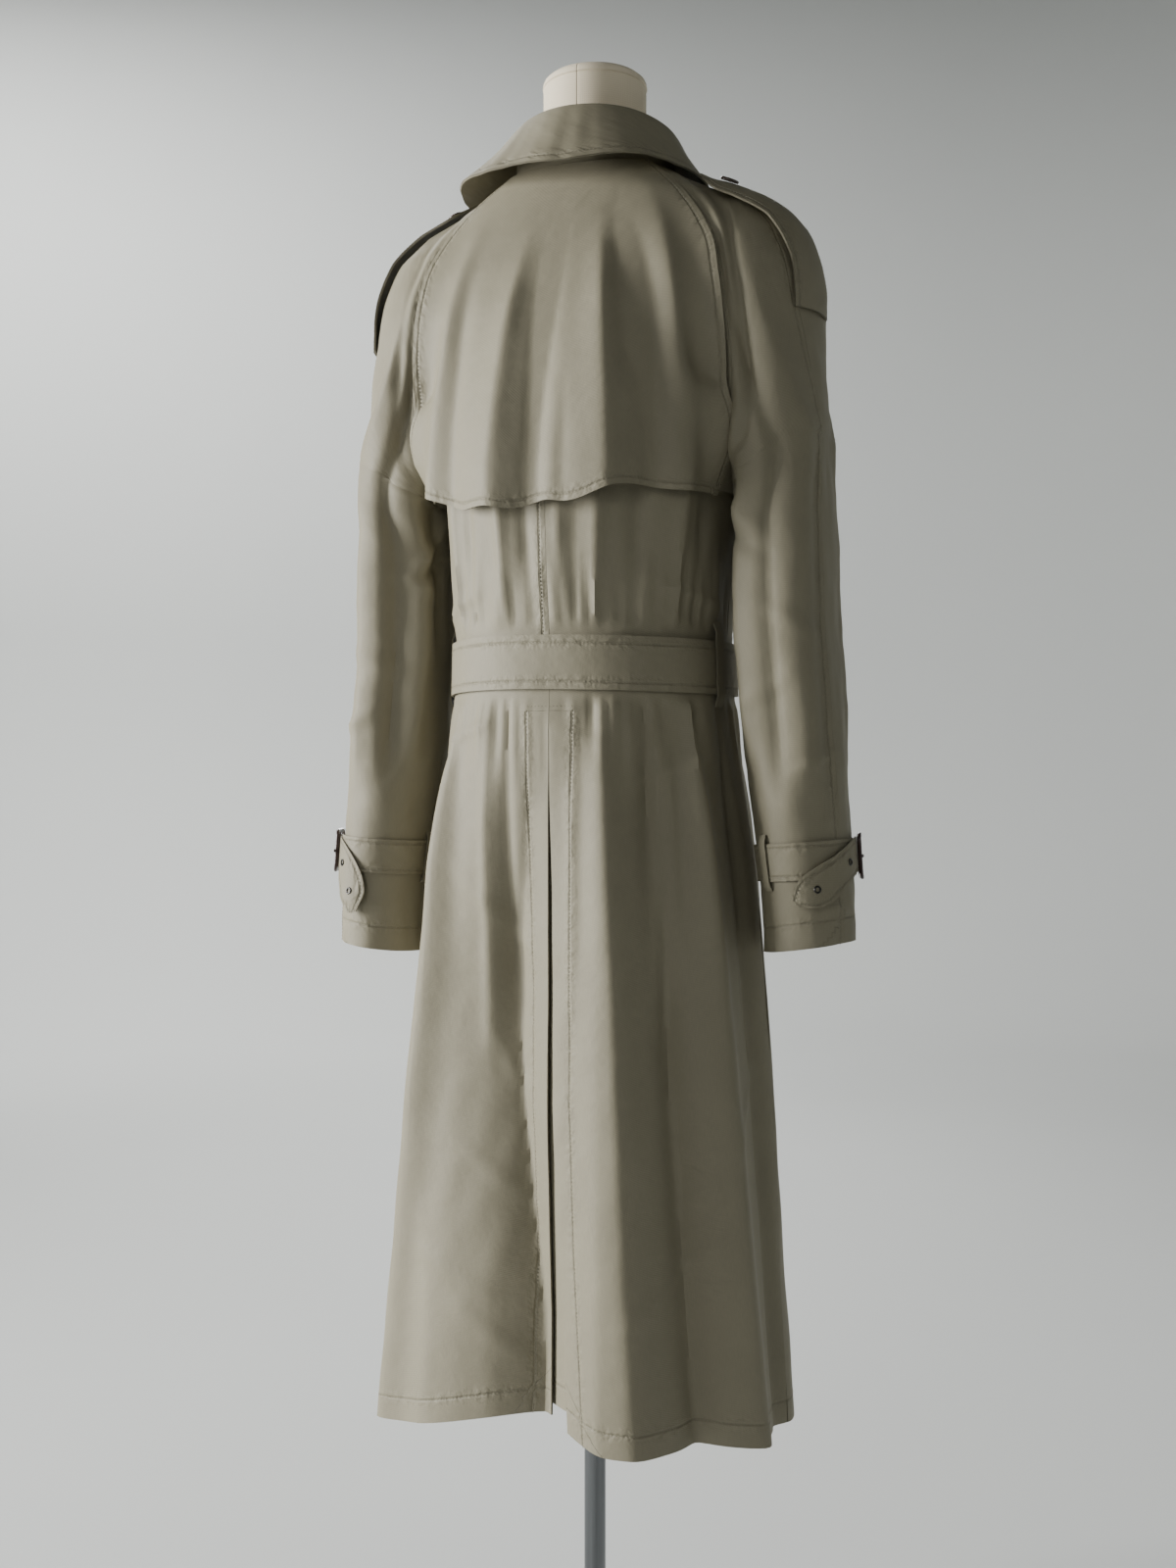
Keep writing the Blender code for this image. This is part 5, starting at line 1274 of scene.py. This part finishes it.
def makeChrome(name, choice):
    # Chromed steel tube and plate: a dark mirror with faint drawing lines and smears that blur it in places.
    made, tree, shader = newMaterial(name)
    spot = addNode(tree, "ShaderNodeTexCoord").outputs["Object"]
    across, along = 1000.0 / choice["lineWide"], 1000.0 / choice["lineLong"]
    drawn = addNode(tree, "ShaderNodeMapping", Vector=spot, Scale=(across, across, along)).outputs[0]
    lines = addNode(tree, "ShaderNodeTexNoise", Vector=drawn, Scale=1.0, Detail=3.0).outputs["Fac"]
    smear = addNode(tree, "ShaderNodeTexNoise", Vector=spot, Scale=1000.0 / choice["smear"], Detail=4.0)
    rough = addNode(tree, "ShaderNodeMapRange", Value=smear.outputs["Fac"], From_Min=0.35, From_Max=0.7,
                    To_Min=choice["roughLow"], To_Max=choice["roughHigh"]).outputs[0]
    tree.links.new(rough, shader.inputs["Roughness"])
    tone = mixColour(tree, lines, linear(choice["dark"]), linear(choice["light"]))
    tree.links.new(tone, shader.inputs["Base Color"])
    setShader(shader, Metallic=1.0)
    return made


# Pattern sizes in millimetres; the weave is drawn coarser than a real half millimetre so that it shows.
formChoice = {"light": "#ebdfc6", "dark": "#ddcfb3", "thread": "#c4b9a0", "seam": "#8d8269",
              "roughness": 0.82, "sheen": 0.12, "neckRadius": 0.053, "weave": 6.667, "weaveHeight": 0.00010,
              "cloud": 45.45, "seamDepth": 0.0006}
chromeChoice = {"light": "#7c7e80", "dark": "#66686a", "roughLow": 0.05, "roughHigh": 0.16, "lineWide": 3.333,
                "lineLong": 125.0, "smear": 111.1}
formLook = makeFormCloth("plain cotton form cover", formChoice)
chromeLook = makeChrome("chromed steel", chromeChoice)

# columns: z, halfWidth, back, front
formSections = np.array([
    (-0.200, 0.128, 0.088, 0.098), (-0.185, 0.134, 0.095, 0.104), (-0.10, 0.136, 0.098, 0.106),
    (0.00, 0.129, 0.100, 0.100), (0.09, 0.108, 0.094, 0.086), (0.13, 0.107, 0.094, 0.088),
    (0.22, 0.120, 0.108, 0.106), (0.30, 0.129, 0.114, 0.118), (0.38, 0.136, 0.108, 0.112),
    (0.45, 0.140, 0.096, 0.098), (0.49, 0.134, 0.084, 0.086), (0.52, 0.112, 0.074, 0.076),
    (0.545, 0.084, 0.064, 0.066), (0.57, 0.063, 0.058, 0.058), (0.60, 0.054, 0.053, 0.053),
    (0.66, 0.0525, 0.0525, 0.0525), (0.706, 0.0525, 0.0525, 0.0525)])


def stackRings(name, rings):
    # solid through rings of one count, closed at both ends
    rows, count = len(rings), len(rings[0])
    return meshOf(name, np.concatenate(rings), ringFaces(rows, count) + endFaces(rows, count))


roundTurns = np.arange(96) * 2 * math.pi / 96


def roundRings(profile, base=0.0):
    # columns of profile: radius, height
    sides, ahead = np.sin(roundTurns), np.cos(roundTurns)
    return [np.stack([sides * r, ahead * r, np.full(len(sides), base + z)], axis=-1) for r, z in profile]


def buildForm():
    sides, ahead = np.sin(roundTurns), np.cos(roundTurns)
    rings = []
    for z, half, back, front in spline(formSections, np.linspace(0.0, len(formSections) - 1.0, 150)):
        depth = np.where(ahead > 0, back, front)
        power = 2.15 if z < 0.52 else 2.0
        radius = ((np.abs(sides) / half) ** power + (np.abs(ahead) / depth) ** power) ** (-1 / power)
        rings.append(np.stack([sides * radius, ahead * radius, np.full(len(sides), z + level)], axis=-1))
    torso = finishPiece("form_torso", stackRings("form_torso", rings), formLook)
    capFoot, flatten = 0.7062, 0.62      # the cap's dome is pressed to this share of its profile
    profile = [(0.0495, -0.0002), (0.0522, 0.0), (0.0532, 0.0018), (0.0526, 0.0038), (0.0528, 0.0068),
               (0.0516, 0.0113), (0.0475, 0.0168), (0.0410, 0.0210), (0.0320, 0.0243), (0.0210, 0.0263),
               (0.0100, 0.0272)]
    rings = roundRings([(r, z * flatten) for r, z in profile], capFoot + level)
    cap = finishPiece("form_neck_cap", stackRings("form_neck_cap", rings), formLook, 60.0)


def buildStand():
    # turned parts from the floor up, 0.3 mm apart. columns: radius, height
    foot = level - 0.200      # underside of the form
    parts = {
        "base_plate": [(0.150, 0.0), (0.1765, 0.0), (0.1790, 0.0008), (0.1800, 0.003), (0.1800, 0.0070),
                       (0.1785, 0.0098), (0.1755, 0.0112), (0.165, 0.0118), (0.06, 0.0120)],
        "base_boss": [(0.028, 0.0123), (0.0315, 0.0126), (0.0320, 0.0140), (0.0320, 0.0190), (0.0300, 0.0225),
                      (0.0240, 0.0300), (0.0200, 0.0380), (0.0178, 0.0440), (0.0165, 0.0500),
                      (0.0155, 0.0518)],
        "pole": [(0.0106, 0.0523), (0.0110, 0.0527), (0.0110, foot - 0.0157), (0.0106, foot - 0.0153)],
        "pole_flange": [(0.0150, foot - 0.0150), (0.0180, foot - 0.0140), (0.0350, foot - 0.0100),
                        (0.0540, foot - 0.0062), (0.0550, foot - 0.0050), (0.0550, foot - 0.0010),
                        (0.0540, foot - 0.0003)]}
    for name, profile in parts.items():
        finishPiece(name, stackRings(name, roundRings(profile)), chromeLook, 35.0)


buildForm()
buildStand()
print("stage: form and stand done")


threadChoice = {"light": "#8f8a75", "dark": "#7d7866", "fleck": 3.846, "pitch": 0.0036, "length": 0.0025,
                "thick": 0.00052, "seed": 11}


def makeThread(name, choice):
    # Spun cotton thread: matt, a little lighter than the cloth, flecked along its length.
    made, tree, shader = newMaterial(name)
    spot = addNode(tree, "ShaderNodeTexCoord").outputs["Object"]
    fleck = addNode(tree, "ShaderNodeTexNoise", Vector=spot, Scale=1000.0 / choice["fleck"], Detail=2.0)
    tone = mixColour(tree, fleck.outputs["Fac"], linear(choice["dark"]), linear(choice["light"]))
    tree.links.new(tone, shader.inputs["Base Color"])
    setShader(shader, Roughness=0.55)
    return made


def stitchTree(look):
    # Geometry Nodes: paths are cut into even steps, and a small spindle of thread lies on each
    tree = bpy.data.node_groups.new("topstitching", "GeometryNodeTree")
    face = tree.interface
    face.new_socket("Geometry", in_out="INPUT", socket_type="NodeSocketGeometry")
    for label in ("Stitch pitch", "Stitch length", "Thread thickness"):
        face.new_socket(label, in_out="INPUT", socket_type="NodeSocketFloat")
    face.new_socket("Seed", in_out="INPUT", socket_type="NodeSocketInt")
    face.new_socket("Geometry", in_out="OUTPUT", socket_type="NodeSocketGeometry")
    given = addNode(tree, "NodeGroupInput")
    curve = addNode(tree, "GeometryNodeMeshToCurve", Mesh=given.outputs["Geometry"])
    evenly = addNode(tree, "GeometryNodeResampleCurve", {"mode": "LENGTH"}, Curve=curve.outputs[0],
                     Length=given.outputs["Stitch pitch"])
    along = addNode(tree, "GeometryNodeInputTangent")
    up = addNode(tree, "GeometryNodeInputNamedAttribute", {"data_type": "FLOAT_VECTOR"}, Name="up")
    aim = addNode(tree, "FunctionNodeAlignEulerToVector", {"axis": "X"}, Vector=along.outputs[0])
    aim = addNode(tree, "FunctionNodeAlignEulerToVector", {"axis": "Z", "pivot_axis": "X"},
                  Rotation=aim.outputs[0], Vector=up.outputs[0])
    wobble = addNode(tree, "FunctionNodeRandomValue", {"data_type": "FLOAT"}, in2=0.86, in3=1.12,
                     Seed=given.outputs["Seed"])
    ball = addNode(tree, "GeometryNodeMeshUVSphere", Segments=6, Rings=4, Radius=0.5)
    size = addNode(tree, "ShaderNodeCombineXYZ", X=given.outputs["Stitch length"],
                   Y=given.outputs["Thread thickness"], Z=given.outputs["Thread thickness"])
    stitch = addNode(tree, "GeometryNodeTransform", Geometry=ball.outputs[0], Scale=size.outputs[0])
    points = addNode(tree, "GeometryNodeInstanceOnPoints", Points=evenly.outputs[0],
                     Instance=stitch.outputs[0], Rotation=aim.outputs[0], Scale=wobble.outputs[1])
    real = addNode(tree, "GeometryNodeRealizeInstances", Geometry=points.outputs[0])
    coloured = addNode(tree, "GeometryNodeSetMaterial", Geometry=real.outputs[0], Material=look)
    addNode(tree, "NodeGroupOutput", Geometry=coloured.outputs[0])
    return tree


def buildStitches():
    # every collected line becomes one path of stitches
    vertices, edges, ups = [], [], []
    for line, up in stitchLines:
        if len(line) < 3:
            continue
        first = len(vertices)
        jump = np.linalg.norm(np.diff(line, axis=0), axis=1)
        for i, (point, normal) in enumerate(zip(line, up)):
            vertices.append(point + normal * 0.00012 + floorUp)
            ups.append(normal)
            if i and jump[i - 1] < 0.03:
                edges.append((first + i - 1, first + i))
    mesh = bpy.data.meshes.new("stitch paths")
    mesh.from_pydata([tuple(map(float, v)) for v in vertices], edges, [])
    mesh.attributes.new("up", "FLOAT_VECTOR", "POINT").data.foreach_set(
        "vector", np.array(ups, dtype=np.float32).ravel())
    guide = bpy.data.objects.new("stitch paths", mesh)
    bpy.context.scene.collection.objects.link(guide)
    look = makeThread("cotton topstitching thread", threadChoice)
    tree = stitchTree(look)
    modifier = guide.modifiers.new("topstitching", "NODES")
    modifier.node_group = tree
    sizes = {"Stitch pitch": threadChoice["pitch"], "Stitch length": threadChoice["length"],
             "Thread thickness": threadChoice["thick"], "Seed": threadChoice["seed"]}
    for socket in tree.interface.items_tree:
        if socket.in_out == "INPUT" and socket.name in sizes:
            modifier[socket.identifier] = sizes[socket.name]
    graph = bpy.context.evaluated_depsgraph_get()
    done = bpy.data.meshes.new_from_object(guide.evaluated_get(graph))
    done.name = "topstitching"
    bpy.data.objects.remove(guide)      # takes the modifier with it
    done.shade_smooth()
    made = bpy.data.objects.new("topstitching", done)
    bpy.context.scene.collection.objects.link(made)
    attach(made, pieceBody)
    print("stage: topstitching done,", len(done.polygons), "faces")


buildStitches()


setChoice = {"light": "#d0d2cf", "dark": "#c9cbc9", "cloud": 1430.0, "roughness": 0.9, "specular": 0.1,
             "sky": "#dfe4ea", "skyStrength": 0.08}


def makeFloorPaint(name, choice):
    # Painted plaster: pale and matt, barely clouded.
    made, tree, shader = newMaterial(name)
    spot = addNode(tree, "ShaderNodeTexCoord").outputs["Object"]
    cloud = addNode(tree, "ShaderNodeTexNoise", Vector=spot, Scale=1000.0 / choice["cloud"], Detail=3.0)
    tone = mixColour(tree, cloud.outputs["Fac"], linear(choice["dark"]), linear(choice["light"]))
    tree.links.new(tone, shader.inputs["Base Color"])
    setShader(shader, Roughness=choice["roughness"], Specular_IOR_Level=choice["specular"])
    return made


def buildSet():
    # a pale floor that sweeps up all round, far outside the object. columns of profile: radius, height
    turns = [2 * math.pi * i / 96 for i in range(96)]
    profile = [(1.0, 0.0), (2.0, 0.0), (3.4, 0.0)]
    for a in np.radians(np.linspace(0, 90, 12)):
        profile.append((4.4 + 1.6 * math.sin(a), 1.6 - 1.6 * math.cos(a)))
    profile += [(6.0, 3.0), (6.0, 6.5)]
    vertices = [(r * math.cos(a), r * math.sin(a), z - 0.0005) for r, z in profile for a in turns]
    faces = [face[::-1] for face in ringFaces(len(profile), len(turns))]      # they look inwards and up
    mesh = bpy.data.meshes.new("floor")
    mesh.from_pydata(vertices, [], faces + [tuple(range(len(turns)))])
    mesh.shade_smooth()
    mesh.materials.append(makeFloorPaint("painted plaster floor", setChoice))
    floor = bpy.data.objects.new("floor", mesh)
    bpy.context.scene.collection.objects.link(floor)


# a low window light from one side, one lamp for the backdrop, two weak ones for the front and the shadows
lightChoice = {
    "window": {"place": (3.4, 1.5, 1.55), "aim": (0.0, 0.0, 0.9), "size": (1.3, 2.0), "watts": 104.0,
               "spread": 100.0},
    "backdrop": {"place": (3.0, -2.4, 4.4), "aim": (2.6, -4.3, 0.2), "size": (2.0, 1.2), "watts": 200.0,
                 "spread": 150.0},
    "front": {"place": (1.4, -3.9, 2.6), "aim": (0.0, 0.0, 1.0), "size": (2.2, 2.2), "watts": 22.0,
              "spread": 80.0},
    "fill": {"place": (0.5, 4.0, 2.2), "aim": (0.0, 0.0, 0.9), "size": (1.6, 1.6), "watts": 6.0,
             "spread": 90.0}}


def buildLights():
    for name, choice in lightChoice.items():
        lamp = bpy.data.lights.new(name, "AREA")
        lamp.shape = "RECTANGLE"
        lamp.size, lamp.size_y = choice["size"]
        lamp.energy = choice["watts"]
        lamp.spread = math.radians(choice["spread"])
        made = bpy.data.objects.new(name, lamp)
        made.location = choice["place"]
        aim = Vector(choice["aim"]) - Vector(choice["place"])
        made.rotation_euler = aim.to_track_quat("-Z", "Y").to_euler()
        bpy.context.scene.collection.objects.link(made)
    world = bpy.data.worlds.new("room")
    world.use_nodes = True
    sky = world.node_tree.nodes["Background"]
    sky.inputs[0].default_value = linear(setChoice["sky"])
    sky.inputs[1].default_value = setChoice["skyStrength"]
    bpy.context.scene.world = world


cameraChoice = {"turn": 20.0, "distance": 1.70, "height": 0.95, "aside": 0.0072, "lens": 38.25}


def buildCamera():
    # behind the coat, at half its height
    turn = math.radians(cameraChoice["turn"])
    data = bpy.data.cameras.new("camera")
    data.sensor_fit = "VERTICAL"
    data.sensor_height = 36.0
    data.lens = cameraChoice["lens"]
    made = bpy.data.objects.new("camera", data)
    away = Vector((-math.sin(turn), math.cos(turn), 0.0))
    right = Vector((-math.cos(turn), -math.sin(turn), 0.0))
    made.location = away * cameraChoice["distance"] - right * cameraChoice["aside"]
    made.location.z = cameraChoice["height"]
    made.rotation_euler = away.to_track_quat("Z", "Y").to_euler()
    bpy.context.scene.collection.objects.link(made)
    bpy.context.scene.camera = made


buildSet()
buildLights()
buildCamera()
bpy.context.view_layer.update()
